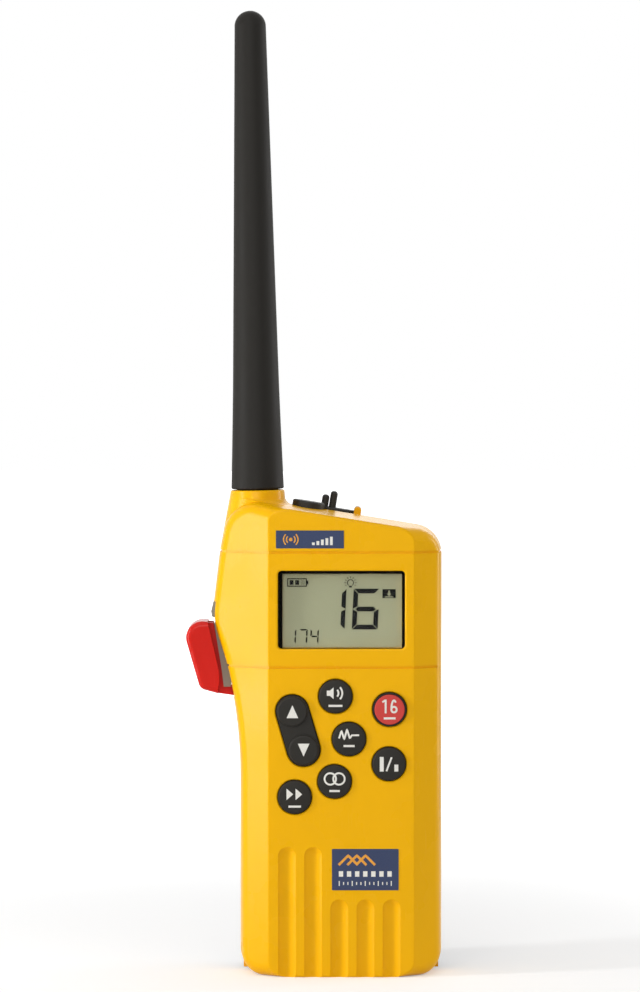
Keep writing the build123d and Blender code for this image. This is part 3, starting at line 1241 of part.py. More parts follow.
# ---------------------------------------------------------------- accessory socket and cover
with BuildPart() as accessory_socket:
    with BuildSketch(on_top(JACK_X, JACK_Y, -FLAP_RECESS - JACK_LENGTH)):
        Circle(JACK_R)
    extrude(amount=JACK_LENGTH)
    with BuildSketch(on_top(JACK_X, JACK_Y, -FLAP_RECESS - JACK_LENGTH)):
        Circle(JACK_FLANGE_R)
    extrude(amount=JACK_LENGTH + FLAP_RECESS - JACK_FLANGE_DEPTH)
    with BuildSketch(on_top(JACK_X, JACK_Y, -FLAP_RECESS)):
        Circle(JACK_BORE_R)
    extrude(amount=-JACK_LENGTH + 1, mode=Mode.SUBTRACT)
    # Recess round the mouth for the cover's spigot.
    with BuildSketch(on_top(JACK_X, JACK_Y, -FLAP_RECESS)):
        Circle(FLAP_SPIGOT_R + FLAP_SPIGOT_GAP)
    extrude(amount=-FLAP_SPIGOT_H - FLAP_SPIGOT_RELIEF, mode=Mode.SUBTRACT)
accessory_socket.part.label = "accessory_socket"
export_step(accessory_socket.part, "parts/accessory_socket.step")

flap_section = Plane(on_top(HINGE_X, JACK_Y).origin, on_top(HINGE_X, JACK_Y).x_dir, (0, -1, 0))
strap_bottom = -FLAP_RECESS + FLAP_LIFT
strap_top = strap_bottom + FLAP_T
NECK_W = 2 * LUG_OFFSET - LUG_T - 2 * NECK_GAP
with BuildPart() as socket_cover:
    with BuildSketch(on_top(JACK_X, JACK_Y, strap_bottom)):
        left = -FLAP_LEFT
        right = HINGE_X - LUG_HALF_LENGTH - FLAP_GAP - FLAP_NECK_GAP - JACK_X
        with Locations(((left + right) / 2, 0)):
            RectangleRounded(right - left, FLAP_W, FLAP_CORNER_R)
    extrude(amount=FLAP_T)
    fillet(socket_cover.faces().sort_by(Axis.Z)[-1].edges(), FLAP_EDGE_R)
    # Neck and barrel between the lugs.
    with BuildSketch(flap_section.offset(-NECK_W / 2)):
        with Locations((0, HINGE_H)):
            Circle(HINGE_H - FLAP_LIFT)
        with Locations((0, strap_top)):
            size = (LUG_HALF_LENGTH + 3, FLAP_NECK_T)
            Rectangle(*size, align=(Align.MAX, Align.MAX))
    extrude(amount=NECK_W)
    with BuildSketch(flap_section.offset(-NECK_W / 2)):
        with Locations((0, HINGE_H)):
            Circle(PIN_R + RUNNING_GAP)
    extrude(amount=NECK_W, mode=Mode.SUBTRACT)
    # Spigot that plugs the socket.
    with BuildSketch(on_top(JACK_X, JACK_Y, strap_bottom)):
        Circle(FLAP_SPIGOT_R)
    extrude(amount=-FLAP_SPIGOT_H)
    # Two finger ears.
    for place, height in EARS:
        with BuildSketch(on_top(place, JACK_Y, strap_top - EAR_ROOT)):
            SlotOverall(EAR_DEPTH, EAR_W, rotation=90)
        extrude(amount=height - strap_top + EAR_ROOT)
        fillet(socket_cover.faces().sort_by(Axis.Z)[-1].edges(), EAR_W / 2 - EAR_FLAT)
socket_cover.part.label = "socket_cover"
export_step(socket_cover.part, "parts/socket_cover.step")

with BuildPart() as socket_cover_pin:
    with BuildSketch(facing_front(JACK_Y + LUG_OFFSET + LUG_T / 2)):
        with Locations(FLAP_HINGE):
            Circle(PIN_R)
    extrude(amount=2 * LUG_OFFSET + LUG_T - LUG_SKIN)
socket_cover_pin.part.label = "socket_cover_pin"
export_step(socket_cover_pin.part, "parts/socket_cover_pin.step")

# ---------------------------------------------------------------- push to talk
PLATE_CORNER = (-46.55, 122.75)     # upper inner corner, clear of the housing when pressed
with BuildPart() as ptt_lever:
    # Finger plate.
    with BuildSketch(facing_front(PARTING_Y + LEVER_CAP_W / 2)) as plate:
        with BuildLine():
            Polyline(
                PLATE_CORNER,
                (-56.1, 123.3),
                (-49.15, 99.3),
                (-42.9, 97.6),
                (-42.9, 99.2),
                (-42.4, 102.0),
                LEVER_FACE[0],
                LEVER_FACE[1],
                close=True,
            )
        make_face()
        fillet(plate.vertices().sort_by_distance((-56.1, 123.3))[0], 5.8)
        fillet(plate.vertices().sort_by_distance((-49.15, 99.3))[0], 3.0)
    extrude(amount=LEVER_CAP_W)
    outer = ptt_lever.faces().filter_by(Axis.Y).edges()
    fillet([e for e in outer if e.center().X < PLATE_CORNER[0]], 1.8)
    # Two flanges run in to the pin.
    flange_starts = [PARTING_Y + LEVER_FLANGE_W / 2, PARTING_Y - LEVER_FLANGE_W / 2 + LEVER_FLANGE_T]
    for y in flange_starts:
        with BuildSketch(facing_front(y)):
            with BuildLine():
                Polyline(
                    (-47.0, 122.3),
                    (-44.6, 122.2),
                    (-43.2, 115.6),
                    (-41.1, 109.3),
                    (-40.7, 106.2),
                    (-40.9, 100.8),
                    (-39.8, 99.8),
                    (LEVER_PIN[0], LEVER_PIN[1] + LEVER_HOOK_R),
                    (LEVER_PIN[0], LEVER_PIN[1] - LEVER_HOOK_R),
                    (-42.9, 97.6),
                    (-45.5, 98.5),
                    (-45.5, 104.0),
                    close=True,
                )
            make_face()
            with Locations(LEVER_PIN):
                Circle(LEVER_HOOK_R)
                Circle(LEVER_PIN_R + RUNNING_GAP, mode=Mode.SUBTRACT)
        extrude(amount=LEVER_FLANGE_T)
ptt_lever.part.label = "ptt_lever"
export_step(ptt_lever.part, "parts/ptt_lever.step")

with BuildPart() as ptt_pin:
    with BuildSketch(facing_front(PARTING_Y + POCKET_W / 2 + 1.0)):
        with Locations(LEVER_PIN):
            Circle(LEVER_PIN_R)
    extrude(amount=POCKET_W + POCKET_SPARE)
ptt_pin.part.label = "ptt_pin"
export_step(ptt_pin.part, "parts/ptt_pin.step")

with BuildPart() as ptt_boot:
    # Sealing layer that fills the pocket's floor.
    with BuildSketch(facing_front(PARTING_Y + POCKET_W / 2 - BOOT_GAP)):
        with BuildLine():
            rise = Polyline((-34.9, 101.5), (-39.9, 101.5), (-39.7, 106.5), (-39.9, 109.7))
            swell = Spline(
                rise @ 1,
                (-41.4, 116.1),
                (-42.3, 121.6),
                (-42.8, 123.6),
                tangents=((0, 1), (0, 1)),
            )
            Polyline(
                swell @ 1,
                (-45.0, 124.4),
                (-45.3, 126.2),
                (-44.5, 129.6),
                (-38.6, 129.6),
                (-37.6, 103.5),
                (-34.9, 101.5),
            )
        make_face()
    extrude(amount=POCKET_W - 2 * BOOT_GAP)
    # Raised strips that close the gap in front of and behind the flanges.
    for y in (PARTING_Y + POCKET_W / 2 - BOOT_GAP, PARTING_Y - POCKET_W / 2 + BOOT_GAP + BOOT_RIM_W):
        with BuildSketch(facing_front(y)):
            with BuildLine():
                Polyline(
                    (-38.5, 99.9),
                    (-40.9, 99.9),
                    (-41.6, 105.6),
                    (-44.15, 121.6),
                    (-43.5, 122.5),
                    (-42.7, 123.2),
                    (-38.5, 123.2),
                    close=True,
                )
            make_face()
        extrude(amount=BOOT_RIM_W)
    # Raised pad under the lever.
    with BuildSketch(facing_front(PARTING_Y + BOOT_PAD_W / 2)):
        with BuildLine():
            Polyline(
                (-41.2, 101.5),
                (-41.7, 105.7),
                (-44.2, 121.9),
                (-40.5, 121.9),
                (-38.5, 101.5),
                close=True,
            )
        make_face()
    extrude(amount=BOOT_PAD_W)
    with BuildSketch(along_press(-CUT_OVERRUN)):
        Circle(PTT_R + PTT_GAP)
    extrude(amount=4 * CUT_OVERRUN, mode=Mode.SUBTRACT)
ptt_boot.part.label = "ptt_boot"
export_step(ptt_boot.part, "parts/ptt_boot.step")

with BuildPart() as ptt_button:
    with BuildSketch(along_press(PTT_LENGTH)):
        Circle(PTT_STEM_R)
    extrude(amount=-(PTT_LENGTH - 1))
    with BuildSketch(along_press(PTT_HEAD)):
        Circle(PTT_R)
    extrude(amount=-(PTT_HEAD - PTT_GAP))
    crown = ptt_button.faces().sort_by(Axis.X)[0]
    fillet(crown.edges(), PTT_CROWN_R)
ptt_button.part.label = "ptt_button"
export_step(ptt_button.part, "parts/ptt_button.step")

SWITCH_X = (-32.6, -BOARD_SIZE[0] / 2)
SWITCH_FRONT = PTT_LENGTH + PTT_PLACE_TRAVEL + PTT_SWITCH_GAP
SWITCH_Y = (PARTING_Y - PTT_SWITCH_HALF_W, PARTING_Y + PTT_SWITCH_HALF_W)
with BuildPart() as ptt_switch:
    corner = (SWITCH_X[0], SWITCH_Y[0], PTT_SWITCH_Z[0])
    add(boxed(corner, (SWITCH_X[1], SWITCH_Y[1], PTT_SWITCH_Z[1])))
    # Riser that stands on the back of the main board.
    corner = (SWITCH_X[1], BOARD_Y + BOARD_T, PTT_RISER_Z[0])
    add(boxed(corner, (SWITCH_X[1] + PTT_RISER_T, SWITCH_Y[1], PTT_RISER_Z[1])))
    with BuildSketch(along_press(SWITCH_FRONT)):
        Circle(PTT_PLUNGER_R)
    extrude(amount=PTT_PLUNGER_L)
ptt_switch.part.label = "ptt_switch"
export_step(ptt_switch.part, "parts/ptt_switch.step")

# ---------------------------------------------------------------- antenna socket
with BuildPart() as antenna_socket:
    with BuildSketch(ANTENNA_SECTION):
        with BuildLine():
            Polyline(
                (INSULATOR_R, -WELL_DEPTH - SOCKET_SHANK + 1),
                (SOCKET_SHANK_R, -WELL_DEPTH - SOCKET_SHANK + 1),
                (SOCKET_SHANK_R, -WELL_DEPTH),
                (WELL_R, -WELL_DEPTH),
                (WELL_R, -WELL_DEPTH + SOCKET_FLANGE),
                (THREAD_R, -WELL_DEPTH + SOCKET_FLANGE),
                (THREAD_R, -SOCKET_TIP - SOCKET_TIP_BEVEL),
                (THREAD_R - SOCKET_TIP_BEVEL, -SOCKET_TIP),
                (INSULATOR_R, -SOCKET_TIP),
                close=True,
            )
        make_face()
    revolve(axis=ANTENNA_AXIS)
antenna_socket.part.label = "antenna_socket"
export_step(antenna_socket.part, "parts/antenna_socket.step")

with BuildPart() as antenna_socket_insulator:
    with BuildSketch(ANTENNA_SECTION):
        with BuildLine():
            Polyline(
                (FERRULE_PIN_R + RUNNING_GAP, -WELL_DEPTH - SOCKET_SHANK + 2),
                (INSULATOR_R, -WELL_DEPTH - SOCKET_SHANK + 2),
                (INSULATOR_R, -INSULATOR_TOP),
                (FERRULE_PIN_R + RUNNING_GAP, -INSULATOR_TOP),
                close=True,
            )
        make_face()
    revolve(axis=ANTENNA_AXIS)
antenna_socket_insulator.part.label = "antenna_socket_insulator"
export_step(antenna_socket_insulator.part, "parts/antenna_socket_insulator.step")

# ---------------------------------------------------------------- antenna
with BuildPart() as antenna_ferrule:
    with BuildSketch(ANTENNA_SECTION):
        with BuildLine():
            Polyline(
                (0, -FERRULE_PIN_TIP),
                (FERRULE_PIN_R, -FERRULE_PIN_TIP + FERRULE_PIN_POINT),
                (FERRULE_PIN_R, FERRULE_ROOF),
                (THREAD_R + RUNNING_GAP, FERRULE_ROOF),
                (THREAD_R + RUNNING_GAP, -FERRULE_DEPTH),
                (FERRULE_R, -FERRULE_DEPTH),
                (FERRULE_R, FERRULE_HOLD),
                (0, FERRULE_HOLD),
                close=True,
            )
        make_face()
    revolve(axis=ANTENNA_AXIS)
antenna_ferrule.part.label = "antenna_ferrule"
export_step(antenna_ferrule.part, "parts/antenna_ferrule.step")

with BuildPart() as antenna_o_ring:
    with BuildSketch(ANTENNA_SECTION):
        with Locations((O_RING_R, O_RING_WIRE_R + O_RING_LIFT)):
            Circle(O_RING_WIRE_R)
    revolve(axis=ANTENNA_AXIS)
antenna_o_ring.part.label = "antenna_o_ring"
export_step(antenna_o_ring.part, "parts/antenna_o_ring.step")

tip_start = WHIP_LENGTH - WHIP_TIP_R + WHIP_TIP_FLAT
GROOVE_HALF = O_RING_WIRE_R + O_RING_SIDE_GAP
with BuildPart() as antenna_whip:
    with BuildSketch(ANTENNA_SECTION) as profile:
        with BuildLine():
            side = Polyline(
                (CORE_R, FERRULE_HOLD),
                (FERRULE_R, FERRULE_HOLD),
                (FERRULE_R, ANTENNA_GAP),
                (O_RING_R - GROOVE_HALF, ANTENNA_GAP),
                (O_RING_R - GROOVE_HALF, 2 * O_RING_WIRE_R + O_RING_TOP_GAP),
                (O_RING_R + GROOVE_HALF, 2 * O_RING_WIRE_R + O_RING_TOP_GAP),
                (O_RING_R + GROOVE_HALF, ANTENNA_GAP),
                (WHIP_BASE_R, ANTENNA_GAP),
            )
            flare = ThreePointArc(
                side @ 1,
                (WHIP_BASE_R - WHIP_WAIST, WHIP_SHOULDER_H * WHIP_WAIST_SHARE),
                (WHIP_SHOULDER_R, WHIP_SHOULDER_H),
            )
            taper_line = Line(flare @ 1, (WHIP_TIP_R, tip_start))
            TangentArc((0, WHIP_LENGTH), taper_line @ 1, tangent=(1, 0))
            core_top = WHIP_LENGTH - CORE_STOP
            Polyline((0, WHIP_LENGTH), (0, core_top), (CORE_R, core_top), (CORE_R, FERRULE_HOLD))
        make_face()
        fillet(profile.vertices().sort_by_distance((WHIP_BASE_R, ANTENNA_GAP))[0], WHIP_EDGE_R)
    revolve(axis=ANTENNA_AXIS)
antenna_whip.part.label = "antenna_whip"
export_step(antenna_whip.part, "parts/antenna_whip.step")

with BuildPart() as antenna_element:
    with BuildSketch(at_antenna(FERRULE_HOLD)):
        Circle(CORE_R)
    extrude(amount=WHIP_LENGTH - CORE_STOP - FERRULE_HOLD)
antenna_element.part.label = "antenna_element"
export_step(antenna_element.part, "parts/antenna_element.step")

# ---------------------------------------------------------------- battery pack
KNOB_SEAT_Y = REAR_Y - PACK_KNOB_WELL_D
CELL_Y = PACK_FRONT_Y + PACK_WALL + CELL_R + CELL_GAP
CELL_TOP_Z = CELL_Z + CELL_LENGTH
cell_places = [((i - (CELL_COUNT - 1) / 2) * CELL_PITCH, CELL_Y) for i in range(CELL_COUNT)]
pack_hollow = body_form(PACK_WALL)
knob_plane = facing_front(KNOB_SEAT_Y)


def pack_shell(front_y, back_y):
    """Slice of the body below the bay's ceiling, between two depths."""
    with BuildPart() as shell:
        add(body.part)
        split(bisect_by=facing_front(front_y), keep=Keep.BOTTOM)
        if back_y < REAR_Y:
            split(bisect_by=facing_front(back_y), keep=Keep.TOP)
        split(bisect_by=Plane.XY.offset(BATTERY_TOP_Z), keep=Keep.BOTTOM)
    return shell.part


with BuildPart() as cell_room:
    add(pack_hollow)
    split(bisect_by=facing_front(PACK_FRONT_Y + PACK_WALL), keep=Keep.BOTTOM)
    split(bisect_by=Plane.XY.offset(CELL_TOP_Z + 2), keep=Keep.BOTTOM)
    # Ledge under the cells.
    split(bisect_by=Plane.XY.offset(CELL_Z), keep=Keep.TOP)

with BuildPart() as battery_case:
    add(pack_shell(PACK_FRONT_Y, PACK_SPLIT_Y))
    add(cell_room.part, mode=Mode.SUBTRACT)
    # Charge circuit's pockets either side of the screw.
    with BuildSketch(facing_front(PACK_SPLIT_Y)):
        for side in (-1, 1):
            with Locations((side * CHARGE_POCKET_PLACE[0], CHARGE_POCKET_PLACE[1])):
                RectangleRounded(*CHARGE_POCKET, CHARGE_POCKET_R)
    extrude(amount=PACK_SPLIT_Y - PACK_FRONT_Y - 2 * PACK_WALL, mode=Mode.SUBTRACT)
    with BuildSketch(facing_front(PACK_SPLIT_Y)):
        with Locations((0, PACK_SCREW_Z)):
            Circle(PACK_SCREW_R + RUNNING_GAP)
    extrude(amount=ALL, mode=Mode.SUBTRACT)
    # Recesses for the terminals, then the locating pegs.
    with BuildSketch(facing_front(PACK_FRONT_Y + TERMINAL_T)):
        with Locations(*contact_places):
            Rectangle(*CONTACT_SIZE)
    extrude(amount=ALL, mode=Mode.SUBTRACT)
    with BuildSketch(facing_front(PACK_FRONT_Y)):
        with Locations(*PEGS):
            Circle(PEG_R)
    extrude(amount=PEG_LENGTH)
    fillet(battery_case.faces().sort_by(Axis.Y)[0:2].edges(), PACK_EDGE_R)
battery_case.part.label = "battery_case"
export_step(battery_case.part, "parts/battery_case.step")

with BuildPart() as battery_cover:
    add(pack_shell(PACK_SPLIT_Y, REAR_Y))
    add(cell_room.part, mode=Mode.SUBTRACT)
    with BuildSketch(knob_plane):
        with Locations((0, PACK_SCREW_Z)):
            Circle(PACK_KNOB_R + 0.5)
    extrude(amount=-ALL, mode=Mode.SUBTRACT)
    with BuildSketch(facing_front(PACK_SPLIT_Y)):
        with Locations((0, PACK_SCREW_Z)):
            Circle(PACK_SCREW_R + RUNNING_GAP)
    extrude(amount=-ALL, mode=Mode.SUBTRACT)
    # Screw holes for the clip's base.
    with BuildSketch(facing_front(REAR_Y)):
        with Locations((-CLIP_SCREW_X, CLIP_SCREW_Z), (CLIP_SCREW_X, CLIP_SCREW_Z)):
            Circle(CLIP_SCREW_R)
    extrude(amount=CLIP_SCREW_REACH, mode=Mode.SUBTRACT)
battery_cover.part.label = "battery_cover"
export_step(battery_cover.part, "parts/battery_cover.step")

with BuildPart() as battery_cells:
    with BuildSketch(Plane.XY.offset(CELL_Z)):
        with Locations(*cell_places):
            Circle(CELL_R)
    extrude(amount=CELL_LENGTH)
battery_cells.part.label = "battery_cells"
export_step(battery_cells.part, "parts/battery_cells.step")

with BuildPart() as battery_terminals:
    with BuildSketch(facing_front(PACK_FRONT_Y + TERMINAL_T)):
        with Locations(*contact_places):
            Rectangle(*CONTACT_SIZE)
    extrude(amount=TERMINAL_T)
battery_terminals.part.label = "battery_terminals"
export_step(battery_terminals.part, "parts/battery_terminals.step")

with BuildPart() as battery_contacts:
    reach = CONTACT_PITCH + CONTACT_BLOCK_MARGIN
    low = (CONTACT_X - reach, PARTING_Y - CONTACT_BLOCK_T, PACK_SCREW_Z - CONTACT_BLOCK_HALF_H)
    add(boxed(low, (CONTACT_X + reach, PARTING_Y, PACK_SCREW_Z + CONTACT_BLOCK_HALF_H)))
    fillet(battery_contacts.edges().filter_by(Axis.Y), CONTACT_BLOCK_EDGE_R)
    with BuildSketch(facing_front(PARTING_Y)):
        with Locations(*contact_places):
            Circle(CONTACT_PIN_R)
    extrude(amount=-(PACK_FRONT_Y - PARTING_Y - CONTACT_PIN_GAP))
battery_contacts.part.label = "battery_contacts"
export_step(battery_contacts.part, "parts/battery_contacts.step")

with BuildPart() as battery_seal:
    with BuildSketch(facing_front(BAY_Y + CONTACT_SEAL_PROUD)):
        with Locations((CONTACT_X, PACK_SCREW_Z)):
            Rectangle(*SEAL_RING)
            Rectangle(*[side - 2 * SEAL_RING_W for side in SEAL_RING], mode=Mode.SUBTRACT)
    extrude(amount=CONTACT_SEAL_T)
battery_seal.part.label = "battery_seal"
export_step(battery_seal.part, "parts/battery_seal.step")

with BuildPart() as battery_screw_washer:
    with BuildSketch(facing_front(KNOB_SEAT_Y + PACK_WASHER_T)):
        with Locations((0, PACK_SCREW_Z)):
            Circle(PACK_KNOB_R - 0.5)
            Circle(PACK_SCREW_R + RUNNING_GAP, mode=Mode.SUBTRACT)
    extrude(amount=PACK_WASHER_T)
battery_screw_washer.part.label = "battery_screw_washer"
export_step(battery_screw_washer.part, "parts/battery_screw_washer.step")

knob_front_y = KNOB_SEAT_Y + PACK_WASHER_T
with BuildPart() as battery_screw:
    with BuildSketch(facing_front(knob_front_y)):
        with Locations((0, PACK_SCREW_Z)):
            Circle(PACK_KNOB_R)
    extrude(amount=-PACK_KNOB_T)
    # Milled rim and a coin slot.
    with BuildSketch(facing_front(knob_front_y)):
        with Locations((0, PACK_SCREW_Z)):
            with PolarLocations(PACK_KNOB_R + KNOB_GROOVE_OUT, KNOB_GROOVES):
                Circle(KNOB_GROOVE_R)
    extrude(amount=-ALL, mode=Mode.SUBTRACT)
    with BuildSketch(facing_front(knob_front_y + PACK_KNOB_T - KNOB_SLOT)):
        with Locations((0, PACK_SCREW_Z)):
            Rectangle(ALL, KNOB_SLOT)
    extrude(amount=-ALL, mode=Mode.SUBTRACT)
    with BuildSketch(facing_front(knob_front_y)):
        with Locations((0, PACK_SCREW_Z)):
            Circle(PACK_SCREW_R)
    extrude(amount=knob_front_y - INSERT_FRONT_Y - 1.5)
    chamfer(battery_screw.faces().sort_by(Axis.Y)[0].edges(), KNOB_POINT)
battery_screw.part.label = "battery_screw"
export_step(battery_screw.part, "parts/battery_screw.step")

with BuildPart() as battery_screw_insert:
    with BuildSketch(facing_front(INSERT_BACK_Y)):
        with Locations((0, PACK_SCREW_Z)):
            Circle(INSERT_R)
            Circle(PACK_SCREW_R + RUNNING_GAP, mode=Mode.SUBTRACT)
    extrude(amount=INSERT_BACK_Y - INSERT_FRONT_Y)
battery_screw_insert.part.label = "battery_screw_insert"
export_step(battery_screw_insert.part, "parts/battery_screw_insert.step")

# ---------------------------------------------------------------- belt clip
CLIP_PLATE_Y = REAR_Y + CLIP_BASE[2]
CLIP_HINGE_Y = REAR_Y + CLIP_STANDOFF
CLIP_INNER_Y = REAR_Y + CLIP_GAP
EAR_X = CLIP_BASE[0] / 2 - 0.8      # outer face of each ear
with BuildPart() as belt_clip_base:
    with BuildSketch(facing_front(REAR_Y)):
        with Locations((0, CLIP_BASE_Z)):
            RectangleRounded(CLIP_BASE[0], CLIP_BASE[1], 2)
    extrude(amount=-CLIP_BASE[2])
    for x in (-EAR_X, EAR_X - CLIP_EAR_T):
        with BuildSketch(Plane.YZ.offset(x)):
            with Locations((CLIP_HINGE_Y, CLIP_Z)):
                Circle(CLIP_BARREL_R)
            with Locations((REAR_Y + 0.5, CLIP_Z)):
                size = (CLIP_STANDOFF - 0.5, 2 * CLIP_BARREL_R)
                Rectangle(*size, align=(Align.MIN, Align.CENTER))
        extrude(amount=CLIP_EAR_T)
    with BuildSketch(Plane.YZ.offset(-EAR_X)):
        with Locations((CLIP_HINGE_Y, CLIP_Z)):
            Circle(CLIP_PIN_R)
    extrude(amount=2 * EAR_X, mode=Mode.SUBTRACT)
    with BuildSketch(facing_front(REAR_Y)):
        with Locations((-CLIP_SCREW_X, CLIP_SCREW_Z), (CLIP_SCREW_X, CLIP_SCREW_Z)):
            Circle(CLIP_SCREW_R + SCREW_GAP)
    extrude(amount=-ALL, mode=Mode.SUBTRACT)
    with BuildSketch(facing_front(CLIP_PLATE_Y)):
        with Locations((-CLIP_SCREW_X, CLIP_SCREW_Z), (CLIP_SCREW_X, CLIP_SCREW_Z)):
            Circle(CLIP_HEAD_R)
    extrude(amount=CLIP_HEAD_R - CLIP_SCREW_R - SCREW_GAP, taper=45, mode=Mode.SUBTRACT)
belt_clip_base.part.label = "belt_clip_base"
export_step(belt_clip_base.part, "parts/belt_clip_base.step")

with BuildPart() as belt_clip_lever:
    with BuildSketch(Plane.YZ.offset(-CLIP_W / 2)) as profile:
        inner = CLIP_INNER_Y
        outer = CLIP_INNER_Y + CLIP_T
        with BuildLine():
            Polyline(
                (inner, CLIP_THUMB_Z),
                (outer, CLIP_THUMB_Z),
                (outer, 32.0),
                (outer - 2.6, 17.0),
                (REAR_Y + 2.0, CLIP_TONGUE_Z),
                (REAR_Y + 0.7, CLIP_TONGUE_Z + 1.6),
                (REAR_Y + 2.6, CLIP_TONGUE_Z + 4.5),
                (inner, 33.0),
                close=True,
            )
        make_face()
        for corner, radius in (((outer, 32.0), 6.0), ((inner, 33.0), 4.0), ((outer - 2.6, 17.0), 2.0)):
            fillet(profile.vertices().sort_by_distance(corner)[0], radius)
    extrude(amount=CLIP_W)
    fillet(belt_clip_lever.edges().filter_by(Axis.Y).group_by(Axis.Z)[-1], 3.0)
    # Barrels round the pin, either side of the spring.
    for x in (-EAR_X + CLIP_EAR_T + 0.15, CLIP_SPRING_HALF):
        barrel_length = EAR_X - CLIP_EAR_T - 0.15 - CLIP_SPRING_HALF
        with BuildSketch(Plane.YZ.offset(x)):
            with Locations((CLIP_HINGE_Y, CLIP_Z)):
                Circle(CLIP_BARREL_R)
            with Locations((CLIP_HINGE_Y, CLIP_Z)):
                size = (CLIP_INNER_Y + 0.5 - CLIP_HINGE_Y, 2 * CLIP_BARREL_R - 0.6)
                Rectangle(*size, align=(Align.MIN, Align.CENTER))
        extrude(amount=barrel_length)
    with BuildSketch(Plane.YZ.offset(-EAR_X)):
        with Locations((CLIP_HINGE_Y, CLIP_Z)):
            Circle(CLIP_PIN_R + RUNNING_GAP)
    extrude(amount=2 * EAR_X, mode=Mode.SUBTRACT)
    # Room for the spring, and a notch round each ear of the base.
    with BuildSketch(Plane.YZ.offset(-CLIP_SPRING_HALF)):
        with Locations((CLIP_HINGE_Y, CLIP_Z)):
            Circle(CLIP_SPRING_R + 0.2)
    extrude(amount=2 * CLIP_SPRING_HALF, mode=Mode.SUBTRACT)
    notch_x = EAR_X - CLIP_EAR_T - 0.15
    with BuildSketch(facing_front(CLIP_INNER_Y + CLIP_T)):
        for side in (-1, 1):
            with Locations((side * (notch_x + CLIP_W / 4), CLIP_Z)):
                Rectangle(CLIP_W / 2, 2 * CLIP_BARREL_R + 0.8)
    extrude(amount=CLIP_T + 0.5, mode=Mode.SUBTRACT)
belt_clip_lever.part.label = "belt_clip_lever"
export_step(belt_clip_lever.part, "parts/belt_clip_lever.step")

with BuildPart() as belt_clip_pin:
    with BuildSketch(Plane.YZ.offset(-EAR_X)):
        with Locations((CLIP_HINGE_Y, CLIP_Z)):
            Circle(CLIP_PIN_R)
    extrude(amount=2 * EAR_X)
belt_clip_pin.part.label = "belt_clip_pin"
export_step(belt_clip_pin.part, "parts/belt_clip_pin.step")

with BuildPart() as belt_clip_spring:
    coil_length = 2 * CLIP_SPRING_HALF - 1.0
    for turn in range(CLIP_SPRING_TURNS):
        x = (turn - (CLIP_SPRING_TURNS - 1) / 2) * coil_length / CLIP_SPRING_TURNS
        with BuildSketch(Plane(origin=(x, CLIP_HINGE_Y, CLIP_Z), x_dir=(0, 1, 0), z_dir=(0, 0, -1))):
            with Locations((CLIP_SPRING_R - CLIP_SPRING_WIRE_R, 0)):
                Rectangle(2 * CLIP_SPRING_WIRE_R, coil_length / CLIP_SPRING_TURNS + 0.01)
        revolve(axis=Axis((0, CLIP_HINGE_Y, CLIP_Z), (1, 0, 0)))
belt_clip_spring.part.label = "belt_clip_spring"
export_step(belt_clip_spring.part, "parts/belt_clip_spring.step")

# ---------------------------------------------------------------- fasteners
with BuildPart() as belt_clip_screws:
    with BuildSketch(facing_front(CLIP_PLATE_Y)):
        with Locations((-CLIP_SCREW_X, CLIP_SCREW_Z), (CLIP_SCREW_X, CLIP_SCREW_Z)):
            Circle(CLIP_HEAD_R)
    extrude(amount=CLIP_HEAD_R - CLIP_SCREW_R, taper=45)
    with BuildSketch(facing_front(CLIP_PLATE_Y)):
        with Locations((-CLIP_SCREW_X, CLIP_SCREW_Z), (CLIP_SCREW_X, CLIP_SCREW_Z)):
            Circle(CLIP_SCREW_R)
    extrude(amount=CLIP_BASE[2] + CLIP_SCREW_REACH)
belt_clip_screws.part.label = "belt_clip_screws"
export_step(belt_clip_screws.part, "parts/belt_clip_screws.step")

with BuildPart() as housing_screws:
    for places, head_y in ((UPPER_SCREWS, UPPER_HEAD_Y), (LOWER_SCREWS, LOWER_HEAD_Y)):
        with BuildSketch(facing_front(head_y)):
            with Locations(*places):
                Circle(SCREW_HEAD_R)
        extrude(amount=-SCREW_HEAD_T)
        with BuildSketch(facing_front(head_y + 0.5)):
            with Locations(*places):
                Circle(SCREW_R)
        extrude(amount=head_y + 0.5 - PARTING_Y + HOUSING_SCREW_REACH)
housing_screws.part.label = "housing_screws"
export_step(housing_screws.part, "parts/housing_screws.step")

with BuildPart() as top_cover_screws:
    with BuildSketch(Plane.XY.offset(DECK_Z)):
        with Locations(*COVER_SCREWS):
            Circle(SCREW_HEAD_R)
    extrude(amount=-SCREW_HEAD_T)
    with BuildSketch(Plane.XY.offset(DECK_Z - 0.5)):
        with Locations(*COVER_SCREWS):
            Circle(SCREW_R)
    extrude(amount=DECK + COVER_SCREW_REACH + 0.5)
top_cover_screws.part.label = "top_cover_screws"
export_step(top_cover_screws.part, "parts/top_cover_screws.step")

with BuildPart() as board_screws:
    board_back_y = BOARD_Y + BOARD_T
    with BuildSketch(facing_front(board_back_y)):
        with Locations(*BOARD_SCREWS):
            Circle(SCREW_HEAD_R)
    extrude(amount=-SCREW_HEAD_T)
    with BuildSketch(facing_front(board_back_y + 0.5)):
        with Locations(*BOARD_SCREWS):
            Circle(SCREW_R)
    extrude(amount=0.5 + BOARD_T + BOARD_SCREW_REACH)
board_screws.part.label = "board_screws"
export_step(board_screws.part, "parts/board_screws.step")
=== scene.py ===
"""Looks of the handheld marine radio: finishes, printed marks, display and studio.

Lengths in this file are millimetres, angles are degrees and colours are linear, unless a
docstring says otherwise. X runs to the right of the front face, Y to the rear and Z up, with the
origin at the centre of the base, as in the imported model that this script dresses.
"""

from __future__ import annotations

import logging
import math
from dataclasses import dataclass, field
from enum import Enum
from typing import Sequence, Union

